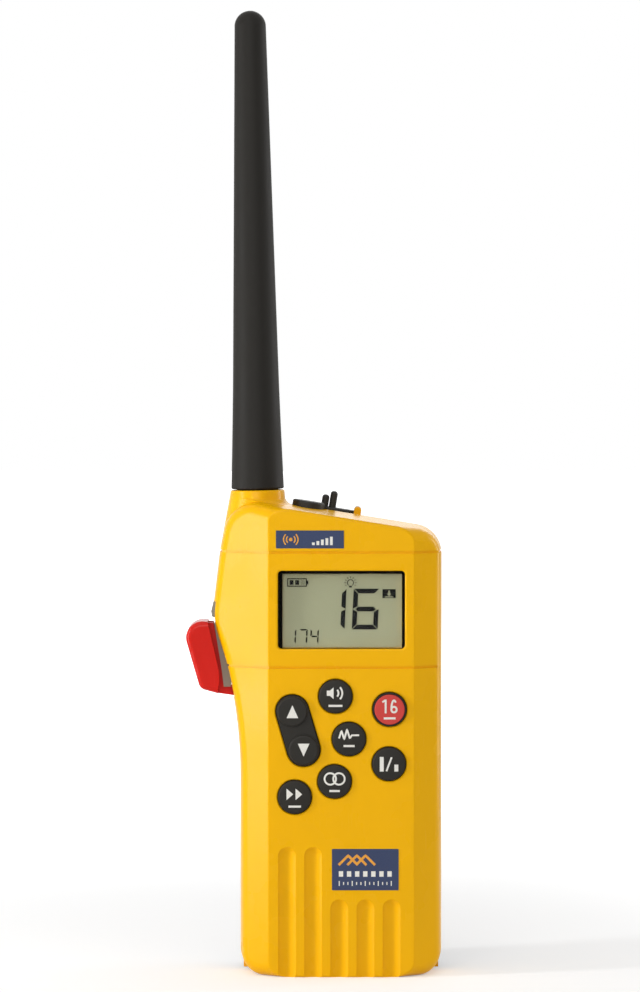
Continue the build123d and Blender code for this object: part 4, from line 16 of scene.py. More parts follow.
import bpy
import numpy as np
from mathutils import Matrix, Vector

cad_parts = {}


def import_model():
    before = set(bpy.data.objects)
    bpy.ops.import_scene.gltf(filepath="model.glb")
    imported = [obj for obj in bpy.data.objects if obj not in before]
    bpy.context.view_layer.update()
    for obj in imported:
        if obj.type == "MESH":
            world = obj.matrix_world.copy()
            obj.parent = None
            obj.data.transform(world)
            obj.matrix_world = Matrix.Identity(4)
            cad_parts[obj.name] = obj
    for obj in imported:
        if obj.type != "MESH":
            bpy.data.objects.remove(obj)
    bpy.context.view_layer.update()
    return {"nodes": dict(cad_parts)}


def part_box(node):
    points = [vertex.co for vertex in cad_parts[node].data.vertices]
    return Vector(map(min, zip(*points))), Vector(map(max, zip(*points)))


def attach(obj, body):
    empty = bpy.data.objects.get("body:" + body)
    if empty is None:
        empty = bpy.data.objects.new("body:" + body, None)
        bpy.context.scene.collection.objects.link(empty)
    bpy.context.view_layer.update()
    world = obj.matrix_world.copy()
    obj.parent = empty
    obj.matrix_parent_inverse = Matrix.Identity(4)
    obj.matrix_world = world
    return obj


LOG = logging.getLogger("marine_radio")
MM = 0.001
BRIGHTEST = 0.98            # share of light that no finish goes over
MIDDLE = (0.3, 0.7)         # smooth noise mostly lies between these

Colour = tuple[float, float, float]
Grid = np.ndarray
Socket = bpy.types.NodeSocket
Value = Union[Socket, float, Colour]


def srgb(red: int, green: int, blue: int) -> Colour:
    """Linear colour of an 8-bit screen colour.

    Args:
        red: Red, 0 to 255.
        green: Green, 0 to 255.
        blue: Blue, 0 to 255.

    Returns:
        The three linear shares, 0 to 1.
    """
    shares = np.array((red, green, blue)) / 255.0
    linear = np.where(shares <= 0.04045, shares / 12.92, ((shares + 0.055) / 1.055) ** 2.4)
    return tuple(float(share) for share in linear)


def shaded(colour: Colour, factor: float) -> Colour:
    """The colour made lighter or darker by a factor, kept under full white."""
    return tuple(min(share * factor, BRIGHTEST) for share in colour)


# ------------------------------------------------------------------ node trees
class Graph:
    """Node tree of one material, built socket by socket."""

    def __init__(self, name: str) -> None:
        """Start a material with one Principled shader wired to its output.

        Args:
            name: Name of the material.
        """
        self.material = bpy.data.materials.new(name)
        self.material.use_nodes = True
        self.tree = self.material.node_tree
        self.tree.nodes.clear()
        self.shader = self.add("ShaderNodeBsdfPrincipled")
        self.output = self.add("ShaderNodeOutputMaterial")
        self.tree.links.new(self.shader.outputs[0], self.output.inputs[0])
        self.place = self.add("ShaderNodeTexCoord").outputs["Object"]

    def add(self, kind: str, **settings: object) -> bpy.types.Node:
        """New node of a kind, with its plain settings.

        Args:
            kind: Blender's type name of the node.
            settings: Properties to set on it.

        Returns:
            The node.
        """
        node = self.tree.nodes.new(kind)
        for name, value in settings.items():
            setattr(node, name, value)
        return node

    def feed(self, socket: Socket, value: Value) -> None:
        """Wire another socket into this one, or set its plain value.

        Args:
            socket: Input socket to fill.
            value: Output socket, number or colour.
        """
        if isinstance(value, bpy.types.NodeSocket):
            self.tree.links.new(value, socket)
        elif socket.type == "RGBA":
            socket.default_value = (*value, 1.0)
        else:
            socket.default_value = value

    def surface(self, **values: Value) -> None:
        """Fill inputs of the Principled shader; base_color stands for Base Color.

        Args:
            values: What goes into each input, by its name in small letters.
        """
        inputs = {socket.name.lower(): socket for socket in self.shader.inputs}
        for name, value in values.items():
            self.feed(inputs[name.replace("_", " ")], value)

    def noise(
        self, size: float, detail: float = 2.0, stretch: Sequence[float] = (1, 1, 1)
    ) -> Socket:
        """Smooth random pattern in object space.

        Args:
            size: Size of its features.
            detail: Octaves of finer noise on top.
            stretch: How many times longer the features are along each axis.

        Returns:
            The pattern's factor, about 0.3 to 0.7.
        """
        mapping = self.add("ShaderNodeMapping")
        mapping.inputs["Scale"].default_value = [1 / (size * MM * times) for times in stretch]
        self.feed(mapping.inputs["Vector"], self.place)
        node = self.add("ShaderNodeTexNoise")
        node.inputs["Scale"].default_value = 1.0
        node.inputs["Detail"].default_value = detail
        self.feed(node.inputs["Vector"], mapping.outputs[0])
        return node.outputs[0]

    def cells(self, size: float) -> Socket:
        """Distance to the nearest of many scattered points.

        Args:
            size: Usual distance between the points.

        Returns:
            The distance, as a share of that.
        """
        node = self.add("ShaderNodeTexVoronoi", feature="SMOOTH_F1")
        node.inputs["Scale"].default_value = 1 / (size * MM)
        self.feed(node.inputs["Vector"], self.place)
        return node.outputs[0]

    def axis(self, name: str) -> Socket:
        """One object coordinate.

        Args:
            name: X, Y or Z.

        Returns:
            The coordinate, in metres.
        """
        split = self.add("ShaderNodeSeparateXYZ")
        self.feed(split.inputs[0], self.place)
        return split.outputs[name]

    def span(
        self, value: Value, low: float, high: float, out: Sequence[float] = (0, 1)
    ) -> Socket:
        """Smooth step of a value from one range onto another.

        Args:
            value: Input value.
            low: Input that gives the first output.
            high: Input that gives the second output.
            out: The two outputs.

        Returns:
            The remapped value.
        """
        node = self.add("ShaderNodeMapRange", interpolation_type="SMOOTHSTEP")
        self.feed(node.inputs[0], value)
        for index, number in enumerate((low, high, *out)):
            node.inputs[1 + index].default_value = number
        return node.outputs[0]

    def maths(self, operation: str, first: Value, second: Value = 0.0) -> Socket:
        """One sum of two values.

        Args:
            operation: Blender's name of the sum.
            first: First value.
            second: Second value, where the sum has one.

        Returns:
            The result.
        """
        node = self.add("ShaderNodeMath", operation=operation)
        self.feed(node.inputs[0], first)
        self.feed(node.inputs[1], second)
        return node.outputs[0]

    def mix(self, share: Value, first: Value, second: Value) -> Socket:
        """Colour between two colours.

        Args:
            share: Share of the second colour, 0 to 1.
            first: First colour.
            second: Second colour.

        Returns:
            The mixed colour.
        """
        node = self.add("ShaderNodeMix", data_type="RGBA")
        for index, value in ((0, share), (6, first), (7, second)):
            self.feed(node.inputs[index], value)
        return node.outputs[2]

    def bump(self, height: Value, depth: float, below: Socket | None = None) -> Socket:
        """Relief of a height pattern.

        Args:
            height: Pattern, 0 to 1.
            depth: Height that 1 stands for.
            below: Normal of a relief underneath.

        Returns:
            The bent normal.
        """
        node = self.add("ShaderNodeBump")
        node.inputs["Strength"].default_value = 1.0
        node.inputs["Distance"].default_value = depth * MM
        self.feed(node.inputs["Height"], height)
        if below is not None:
            self.feed(node.inputs["Normal"], below)
        return node.outputs[0]


# ------------------------------------------------------------------ finishes
WANDER_SIZE = 20.0          # over which a moulding's colour and gloss drift
GLOSS_DRIFT = 0.03          # how far roughness drifts either way
SCUFF_SIZE = 2.2
SCUFF_STRETCH = (0.25, 1, 3.5)
SCUFF_SPAN = (0.60, 0.74)   # noise above this is a scuff
SCUFF_PALER = 1.25
# Seam line below is painted shade: the colour is darkened towards SEAM_SHADE within these half widths
SEAM_SHADE_WIDTHS = (0.05, 0.16)    # half widths of a seam's line, where it is full and where it ends
SEAM_SHADE_STRENGTH = 0.55
SEAM_SHADE = 0.25
SEAM_GROOVE = 0.22          # half width of its groove
SEAM_DEPTH = 0.08


@dataclass(frozen=True)
class Moulded:
    """Injection-moulded plastic or rubber: tool grain, slow colour drift, light handling marks."""

    name: str
    colour: Colour
    roughness: float
    grain: float = 0.30
    grain_depth: float = 0.004
    drift: float = 0.03
    scuffs: float = 0.10
    specular: float = 0.4
    seams: tuple[tuple[str, float], ...] = ()

    def make(self) -> bpy.types.Material:
        """Build the material.

        The colour wanders by the drift over about 20 mm, thin stretched noise stands for
        handling scuffs that are rougher and paler, and fine noise gives the tool's grain. A seam
        is a shallow groove across one axis where two mouldings meet, with painted shade along it.

        Returns:
            The material.
        """
        graph = Graph(self.name)
        wander = graph.noise(WANDER_SIZE, 3.0)
        pale, deep = shaded(self.colour, 1 + self.drift), shaded(self.colour, 1 - self.drift)
        colour = graph.mix(graph.span(wander, *MIDDLE), deep, pale)
        scuff = graph.span(graph.noise(SCUFF_SIZE, 4.0, SCUFF_STRETCH), *SCUFF_SPAN)
        marked = graph.maths("MULTIPLY", scuff, self.scuffs)
        colour = graph.mix(marked, colour, shaded(self.colour, SCUFF_PALER))
        fine = graph.noise(self.grain, 2.0)
        normal = graph.bump(fine, self.grain_depth)
        # Each seam: a groove in the relief, and painted shade darkening the colour along it
        for axis, place in self.seams:
            gap = graph.maths("ABSOLUTE", graph.maths("SUBTRACT", graph.axis(axis), place * MM))
            painted_seam_shade = graph.span(gap, SEAM_SHADE_WIDTHS[0] * MM, SEAM_SHADE_WIDTHS[1] * MM, (1, 0))
            painted_seam_shade = graph.maths("MULTIPLY", painted_seam_shade, SEAM_SHADE_STRENGTH)
            colour = graph.mix(painted_seam_shade, colour, shaded(self.colour, SEAM_SHADE))
            normal = graph.bump(graph.span(gap, 0.0, SEAM_GROOVE * MM), SEAM_DEPTH, normal)
        gloss = (self.roughness - GLOSS_DRIFT, self.roughness + GLOSS_DRIFT)
        rough = graph.span(wander, *MIDDLE, gloss)
        rough = graph.maths("ADD", rough, graph.maths("MULTIPLY", scuff, self.scuffs))
        graph.surface(
            base_color=colour, roughness=rough, normal=normal, specular_ior_level=self.specular
        )
        return graph.material


@dataclass(frozen=True)
class Metal:
    """Turned, rolled or drawn metal with fine tool marks."""

    name: str
    colour: Colour
    roughness: float
    marks: tuple[float, float, float] = (1, 1, 12)
    tarnish: float = 0.72
    mark_size: float = 0.12
    mark_depth: float = 0.003

    def make(self) -> bpy.types.Material:
        """Build the material: stretched noise for the tool's marks, slow tarnish on top.

        Returns:
            The material.
        """
        graph = Graph(self.name)
        dull = graph.span(graph.noise(3.0, 4.0), 0.35, 0.7)
        colour = graph.mix(dull, self.colour, shaded(self.colour, self.tarnish))
        marks = graph.noise(self.mark_size, 2.0, self.marks)
        rough = graph.span(marks, *MIDDLE, (self.roughness - 0.06, self.roughness + 0.08))
        relief = graph.bump(marks, self.mark_depth)
        graph.surface(base_color=colour, metallic=1.0, roughness=rough, normal=relief)
        return graph.material


@dataclass(frozen=True)
class Pane:
    """Clear pane with an anti-glare coat, which lets lamps through to what lies behind it."""

    name: str
    tint: Colour
    ior: float = 1.13
    wipe_size: float = 6.0
    wipe_gloss: float = 0.012

    def make(self) -> bpy.types.Material:
        """Build the material: smooth glass with faint wipe marks in its gloss.

        Returns:
            The material.
        """
        graph = Graph(self.name)
        wipes = graph.noise(self.wipe_size, 3.0, (3, 1, 1))
        wipes = graph.span(wipes, 0.35, 0.75, (0.0, self.wipe_gloss))
        graph.surface(base_color=self.tint, roughness=wipes, transmission_weight=1.0, ior=self.ior)
        lamp_ray = graph.add("ShaderNodeLightPath").outputs["Is Shadow Ray"]
        through = graph.add("ShaderNodeBsdfTransparent")
        through.inputs[0].default_value = (*self.tint, 1.0)
        choose = graph.add("ShaderNodeMixShader")
        graph.feed(choose.inputs[0], lamp_ray)
        graph.feed(choose.inputs[1], graph.shader.outputs[0])
        graph.feed(choose.inputs[2], through.outputs[0])
        graph.feed(graph.output.inputs[0], choose.outputs[0])
        return graph.material


@dataclass(frozen=True)
class Printed:
    """Printed film or ink: an even coat with fine dots of the screen and a satin face."""

    name: str
    colour: Colour
    roughness: float = 0.45
    speckle: float = 0.05
    specular: float = 0.3
    dot_size: float = 0.18
    peel_size: float = 0.5
    peel_depth: float = 0.002

    def make(self) -> bpy.types.Material:
        """Build the material: fine speckle in the colour and a slight orange peel.

        Returns:
            The material.
        """
        graph = Graph(self.name)
        dots = graph.span(graph.noise(self.dot_size, 1.0), 0.35, 0.65)
        low, high = shaded(self.colour, 1 - self.speckle), shaded(self.colour, 1 + self.speckle)
        peel = graph.bump(graph.noise(self.peel_size, 1.0), self.peel_depth)
        rough = graph.span(
            graph.noise(3.0), *MIDDLE, (self.roughness - 0.05, self.roughness + 0.05)
        )
        graph.surface(
            base_color=graph.mix(dots, low, high),
            roughness=rough,
            normal=peel,
            specular_ior_level=self.specular,
        )
        return graph.material


@dataclass(frozen=True)
class CrystalPanel:
    """Reflective liquid-crystal glass: grey-green, with a fine grain, darker at the top."""

    name: str
    colour: Colour
    top: float
    bottom: float
    top_tone: float = 0.96
    bottom_tone: float = 1.02
    grain_size: float = 0.16
    grain_share: float = 0.25
    specular: float = 0.1

    def make(self) -> bpy.types.Material:
        """Build the material: a slight rise in tone from the top edge down, and fine grain.

        Returns:
            The material.
        """
        graph = Graph(self.name)
        height = graph.span(graph.axis("Z"), self.bottom * MM, self.top * MM)
        low, high = shaded(self.colour, self.bottom_tone), shaded(self.colour, self.top_tone)
        grain = graph.span(graph.noise(self.grain_size, 1.0), *MIDDLE)
        grain = graph.maths("MULTIPLY", grain, self.grain_share)
        tone = graph.mix(grain, graph.mix(height, low, high), shaded(self.colour, 1.06))
        rough = graph.span(graph.noise(5.0), *MIDDLE, (0.32, 0.4))
        graph.surface(base_color=tone, roughness=rough, specular_ior_level=self.specular)
        return graph.material


@dataclass(frozen=True)
class Board:
    """Circuit board: solder mask over a lattice of copper tracks, with pale pads."""

    name: str
    mask: Colour = srgb(10, 74, 44)
    track: Colour = srgb(30, 110, 66)
    pad: Colour = srgb(206, 196, 160)
    track_pitch: float = 9.0
    pad_pitch: float = 2.4
    relief: float = 0.03

    def make(self) -> bpy.types.Material:
        """Build the material: bricks for the tracks under the mask and dots for the pads.

        Returns:
            The material.
        """
        graph = Graph(self.name)
        tracks = graph.add("ShaderNodeTexBrick")
        tracks.inputs["Scale"].default_value = 1 / (self.track_pitch * MM)
        tracks.inputs["Mortar Size"].default_value = 0.035
        turned = graph.add("ShaderNodeMapping")
        turned.inputs["Rotation"].default_value = (math.radians(90), 0, 0)
        graph.feed(turned.inputs["Vector"], graph.place)
        graph.feed(tracks.inputs["Vector"], turned.outputs[0])
        coat = graph.mix(tracks.outputs["Fac"], self.mask, self.track)
        pads = graph.span(graph.cells(self.pad_pitch), 0.10, 0.14, (1, 0))
        graph.surface(
            base_color=graph.mix(pads, coat, self.pad),
            roughness=graph.span(pads, 0, 1, (0.32, 0.22)),
            normal=graph.bump(tracks.outputs["Fac"], self.relief),
        )
        return graph.material


@dataclass(frozen=True)
class Fibre:
    """Pressed paper of a loudspeaker's cone."""

    name: str
    colour: Colour
    fibre_size: float = 0.2
    paler: float = 2.2
    relief: float = 0.03

    def make(self) -> bpy.types.Material:
        """Build the material: short matted fibres as stretched noise in two directions.

        Returns:
            The material.
        """
        graph = Graph(self.name)
        first = graph.noise(self.fibre_size, 2.0, (6, 1, 1))
        second = graph.noise(self.fibre_size, 2.0, (1, 1, 6))
        fibres = graph.maths("MAXIMUM", first, second)
        pale = shaded(self.colour, self.paler)
        tone = graph.mix(graph.span(fibres, 0.45, 0.75), self.colour, pale)
        graph.surface(base_color=tone, roughness=0.95, normal=graph.bump(fibres, self.relief))
        return graph.material


YELLOW = srgb(247, 184, 2)
PARTING_Y = 1.0             # joint between the front and the rear housing
PACK_SPLIT_Y = 17.0         # joint between the battery case and its cover
PARTING = (("Y", PARTING_Y),)
PACK_PARTING = (("Y", PACK_SPLIT_Y),)


class Finish(Enum):
    """Every finish on the radio; a record slot's name comes with each.

    The numbers of a moulding are its roughness, grain, grain depth, drift, scuffs and
    specular share, in that order. Those of a print are its roughness, speckle and specular
    share.
    """

    SHELL = (
        Moulded("shell_yellow", YELLOW, 0.28, 0.5, 0.002, 0.012, 0.04, 0.14, PARTING),
        "yellow_shell",
    )
    PACK = (
        Moulded(
            "pack_shell", srgb(40, 39, 37), 0.5, 0.45, 0.010, specular=0.3, seams=PACK_PARTING
        ),
        "black_plastic",
    )
    WHIP = (
        Moulded("whip_rubber", srgb(38, 36, 33), 0.55, 0.35, 0.008, 0.06, 0.05, 0.14),
        "black_rubber",
    )
    SOFT_BLACK = (
        Moulded("rubber_black", srgb(42, 40, 37), 0.50, 0.25, 0.006, 0.05, 0.08, 0.25),
        "black_rubber",
    )
    KEY = (
        Moulded("key_rubber", srgb(46, 44, 40), 0.46, 0.22, 0.004, 0.04, 0.06, 0.14),
        "black_key",
    )
    LEVER = (
        Moulded("lever_red", srgb(204, 30, 20), 0.22, 0.6, 0.002, 0.03, 0.04, 0.17),
        "red_plastic",
    )
    CAP = (Moulded("cap_red", srgb(208, 70, 64), 0.42, 0.4, 0.003, 0.03, 0.03, 0.2), "red_key")
    BOOT = (
        Moulded("boot_grey", srgb(142, 137, 128), 0.6, 0.3, 0.008, 0.05, 0.06, 0.25),
        "grey_rubber",
    )
    CLIP = (
        Moulded("clip_black", srgb(34, 33, 32), 0.38, 0.4, 0.004, 0.04, 0.1, 0.35),
        "black_plastic",
    )
    SEAL = (Moulded("rubber_seal", srgb(36, 36, 37), 0.62, 0.3, 0.004), "seal_rubber")
    SHELL_SEAL = (
        Moulded("amber_seal", srgb(240, 176, 8), 0.5, 0.3, 0.003, specular=0.12),
        "seal_rubber",
    )
    GASKET = (
        Moulded("gasket_black", srgb(12, 12, 13), 0.7, 0.2, 0.003, 0.02, 0.0, 0.08),
        "black_gasket",
    )
    MAT = (Moulded("silicone_grey", srgb(172, 174, 172), 0.6, 0.3, 0.004), "mat_silicone")
    LIGHT = (Moulded("light_guide", srgb(232, 232, 226), 0.4, 0.3, 0.002), "white_plastic")
    INSULATOR = (Moulded("insulator_white", srgb(236, 235, 228), 0.35, 0.3, 0.002), "insulator")
    WRAP = (Moulded("wrap_blue", srgb(60, 110, 150), 0.25, 0.6, 0.002, 0.04, 0.02), "cell_wrap")
    STEEL = (Metal("steel_plain", srgb(196, 196, 194), 0.28), "steel")
    BRASS = (Metal("brass_plated", srgb(222, 184, 112), 0.26, (12, 12, 1)), "brass")
    WINDOW = (Pane("window_pane", (0.97, 0.98, 0.97)), "window")
    CRYSTAL = (CrystalPanel("crystal_panel", srgb(138, 138, 112), 140.0, 114.0), "lcd")
    BOARD = (Board("board_green"), "circuit_board")
    CONE = (Fibre("paper_black", srgb(44, 43, 42)), "cone_paper")
    LEGEND = (Printed("legend_ink", srgb(232, 230, 222), 0.5), "white_plastic")
    SEGMENT = (Printed("segment_dark", srgb(16, 16, 16), 0.5, 0.02, 0.08), "black_gasket")
    GHOST = (Printed("segment_ghost", srgb(118, 118, 96), 0.4, 0.02, 0.1), "lcd")
    PLATE = (Printed("label_slate", srgb(64, 74, 104), 0.38, 0.05, 0.12), "black_plastic")
    PLATE_PALE = (Printed("label_pale", srgb(236, 234, 226), 0.4, 0.03), "white_plastic")
    PLATE_AMBER = (Printed("label_amber", srgb(232, 162, 62), 0.4, 0.04), "yellow_shell")

    @property
    def slot(self) -> str:
        """Record slot that the finish belongs to."""
        return self.value[1]

    def material(self) -> bpy.types.Material:
        """The finish as a material, built on first use."""
        look = self.value[0]
        return bpy.data.materials.get(look.name) or look.make()


# ------------------------------------------------------------------ flat marks
HAIR = 0.004                # one printed layer above the next
INK = 0.05                  # thickness of printed marks
INK_LIFT = 0.035            # face of the ink above its surface


def line(start: Sequence[float], end: Sequence[float], steps: int = 2) -> Grid:
    """Straight path: points spread evenly from start to end."""
    share = np.linspace(0.0, 1.0, steps)[:, None]
    return (1 - share) * np.array(start, float) + share * np.array(end, float)


def arc(
    centre: Sequence[float], radius: float, start: float, end: float, steps: int = 25
) -> Grid:
    """Circular path: centre plus radius times the cosine and sine of an angle that runs evenly."""
    angle = np.radians(np.linspace(start, end, steps))
    return np.array(centre, float) + radius * np.stack([np.cos(angle), np.sin(angle)], axis=1)


def ribbon(path: Grid, width: float) -> Grid:
    """Band of even width along a path.

    Each point gives two, half the width to either side along the path's own normal, which is
    its direction turned by a right angle.

    Args:
        path: Points of the path, one per row.
        width: Width of the band.

    Returns:
        Grid of points, two columns wide.
    """
    run = np.gradient(path, axis=0)
    run = run / np.linalg.norm(run, axis=1, keepdims=True)
    across = np.stack([-run[:, 1], run[:, 0]], axis=1) * width / 2
    return np.stack([path + across, path - across], axis=1)


def ruled(first: Sequence, second: Sequence, columns: int = 2) -> Grid:
    """Straight-lined patch: every point is a share of the way from one edge to the other.

    Args:
        first: Points of the first edge.
        second: As many points of the second edge.
        columns: How many columns the patch has, both edges counted.

    Returns:
        Grid of points.
    """
    share = np.linspace(0.0, 1.0, columns)[None, :, None]
    left, right = np.array(first, float)[:, None], np.array(second, float)[:, None]
    return (1 - share) * left + share * right


def bar(centre: Sequence[float], size: Sequence[float], steps: int = 7) -> Grid:
    """Upright rectangle as a ruled patch between its left and right edges.

    Args:
        centre: Its middle.
        size: Its width and height.
        steps: Points along each edge.

    Returns:
        Grid of points.
    """
    x, z = centre
    w, h = size[0] / 2, size[1] / 2
    left, right = (line((side, z - h), (side, z + h), steps) for side in (x - w, x + w))
    return ruled(left, right, steps)


@dataclass(frozen=True)
class Placement:
    """Where flat marks lie: an origin with the directions across, up and out of the surface."""

    origin: tuple[float, float, float]
    across: tuple[float, float, float] = (1, 0, 0)
    up: tuple[float, float, float] = (0, 0, 1)
    dome_radius: float = 0.0

    @property
    def out(self) -> Grid:
        """Direction out of the surface, square to across and up."""
        return np.cross(self.across, self.up)

    def solid(self, flat: Grid, lift: float) -> Grid:
        """Carry flat points onto the surface.

        On a dome the surface falls by the sphere's sagitta, radius less the root of radius
        squared less distance squared, away from the origin.

        Args:
            flat: Points across and up from the origin.
            lift: Height above the surface.

        Returns:
            The points in space.
        """
        height = np.full(flat.shape[:-1], lift)
        if self.dome_radius:
            reach = (flat**2).sum(axis=-1)
            height = height - (self.dome_radius - np.sqrt(self.dome_radius**2 - reach))
        across, up = np.array(self.across, float), np.array(self.up, float)
        along = flat[..., :1] * across + flat[..., 1:] * up
        return np.array(self.origin, float) + along + height[..., None] * self.out


@dataclass
class Mesh:
    """Vertices and faces gathered from many patches, made into one object at the end."""

    points: list[Grid] = field(default_factory=list)
    faces: list[tuple[int, ...]] = field(default_factory=list)
    count: int = 0

    def loft(self, rings: Grid) -> None:
        """Skin over closed rings of points, each joined to the next, with both ends capped.

        Args:
            rings: Array of ring, place round the ring and coordinate.
        """
        number, around = rings.shape[:2]
        start = self.count + np.arange(number * around).reshape(number, around)
        nxt = np.roll(start, -1, axis=1)
        quads = np.stack([start[:-1], nxt[:-1], nxt[1:], start[1:]], axis=-1).reshape(-1, 4)
        self.faces += [tuple(quad) for quad in quads.tolist()]
        self.faces += [tuple(start[0][::-1].tolist()), tuple(start[-1].tolist())]
        self.points.append(rings.reshape(-1, 3))
        self.count += number * around

    def slab(self, front: Grid, back: Grid) -> None:
        """Closed thin body between two matching grids, the first facing outwards.

        Args:
            front: Outer grid of row, column and coordinate.
            back: Inner grid of the same shape.
        """
        rows, columns = front.shape[:2]
        top = self.count + np.arange(rows * columns).reshape(rows, columns)
        low = top + rows * columns
        skin = [top[:-1, :-1], top[1:, :-1], top[1:, 1:], top[:-1, 1:]]
        under = [low[:-1, :-1], low[:-1, 1:], low[1:, 1:], low[1:, :-1]]
        quads = [np.stack(side, axis=-1).reshape(-1, 4) for side in (skin, under)]
        edge = np.concatenate([top[:, 0], top[-1, 1:], top[:-1, -1][::-1], top[0, 1:-1][::-1]])
        foot = edge + rows * columns
        after, foot_after = np.roll(edge, -1), np.roll(foot, -1)
        quads.append(np.stack([after, edge, foot, foot_after], axis=-1))
        self.faces += [tuple(quad) for quad in np.concatenate(quads).tolist()]
        self.points += [front.reshape(-1, 3), back.reshape(-1, 3)]
        self.count += 2 * rows * columns

    def marks(self, patches: Sequence[Grid], place: Placement, lift: float, thick: float) -> None:
        """Thin printed marks on a surface, each a hair above the last so that none coincide.

        Args:
            patches: Flat grids of points across and up.
            place: Surface that carries them.
            lift: Height of the first mark's face above the surface.
            thick: Thickness of a mark.
        """
        for number, patch in enumerate(patches):
            first, second = patch[1, 0] - patch[0, 0], patch[0, 1] - patch[0, 0]
            if first[0] * second[1] - first[1] * second[0] < 0:
                patch = patch[:, ::-1]
            height = lift + number * HAIR
            self.slab(place.solid(patch, height), place.solid(patch, height - thick))

    def build(self, name: str, finish: Finish, body: str) -> bpy.types.Object:
        """Make the object and let it ride on a body.

        Args:
            name: Name of the piece.
            finish: Its finish.
            body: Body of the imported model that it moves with.

        Returns:
            The object.
        """
        mesh = bpy.data.meshes.new(name)
        mesh.from_pydata((np.concatenate(self.points) * MM).tolist(), [], self.faces)
        mesh.validate()
        mesh.materials.append(finish.material())
        piece = bpy.data.objects.new(name, mesh)
        bpy.context.scene.collection.objects.link(piece)
        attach(piece, body)
        LOG.info("%s: %d faces on %s", name, len(mesh.polygons), body)
        return piece


def rounded(width: float, height: float, radius: float, steps: int = 8) -> Grid:
    """Rounded rectangle about the origin, anticlockwise: four quarter arcs and straights.

    Args:
        width: Its width.
        height: Its height.
        radius: Radius of its corners.
        steps: Points along each corner.

    Returns:
        Points of the outline, one per row.
    """
    x, z = width / 2 - radius, height / 2 - radius
    places = ((x, z), (-x, z), (-x, -z), (x, -z))
    turns = (0, 90, 180, 270)
    quarters = [arc(at, radius, turn, turn + 90, steps) for at, turn in zip(places, turns)]
    return np.concatenate(quarters)


# ------------------------------------------------------------------ sub-assemblies
Nodes = dict[str, bpy.types.Object]
Dressing = tuple[tuple[Finish, tuple[str, ...]], ...]


@dataclass
class Assembly:
    """Sub-assembly of the radio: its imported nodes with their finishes, and what is added to it."""

    dressing: Dressing = ()

    def dress(self, nodes: Nodes) -> None:
        """Give each of the sub-assembly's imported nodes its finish.

        Args:
            nodes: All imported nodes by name.
        """
        for finish, names in self.dressing:
            for name in names:
                for slot in nodes[name].material_slots:
                    slot.material = finish.material()
                LOG.info("%s: dressed in %s", name, finish.name.lower())

    def build(self) -> None:
        """Add the sub-assembly's own pieces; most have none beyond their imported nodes."""


@dataclass(frozen=True)
class Numerals:
    """Plain rounded numerals drawn with a pen of even width, one and six."""

    height: float
    pen: float
    narrow: float = 0.52        # width of a six over its height
    flag: float = 0.24          # reach of a one's flag over its height
    flag_drop: float = 0.85     # fall of the flag over its reach
    bowl: float = 1.05          # height of a six's bowl over its width

    def one(self, x: float, z: float) -> list[Grid]:
        """Upright stroke with a short flag at its head.

        Args:
            x: Middle of the stroke.
            z: Middle of its height.

        Returns:
            One patch for the stroke and one for the flag.
        """
        top = z + self.height / 2
        flag = self.height * self.flag
        stem = bar((x, z), (self.pen, self.height))
        tip = (x - flag, top - flag * self.flag_drop)
        root = (x - self.pen * 0.1, top - self.pen * 0.35)
        return [stem, ribbon(line(tip, root, 5), self.pen * 0.9)]

    def six(self, x: float, z: float) -> list[Grid]:
        """Round bowl below, with a stroke that climbs from its left side and curls over.

        Args:
            x: Middle of the numeral.
            z: Middle of its height.

        Returns:
            One patch for the bowl and one for the stroke.
        """
        half = self.height * self.narrow / 2 - self.pen / 2
        bowl_z = z - self.height / 2 + self.pen / 2 + half * self.bowl
        bowl = arc((0, 0), 1.0, 0, 360, 41) * (half, half * self.bowl) + (x, bowl_z)
        rise = z + self.height / 2 - self.pen / 2 - bowl_z
        climb = arc((0, 0), 1.0, 180, 50, 31) * (half, rise) + (x, bowl_z)
        return [ribbon(bowl, self.pen), ribbon(climb, self.pen)]


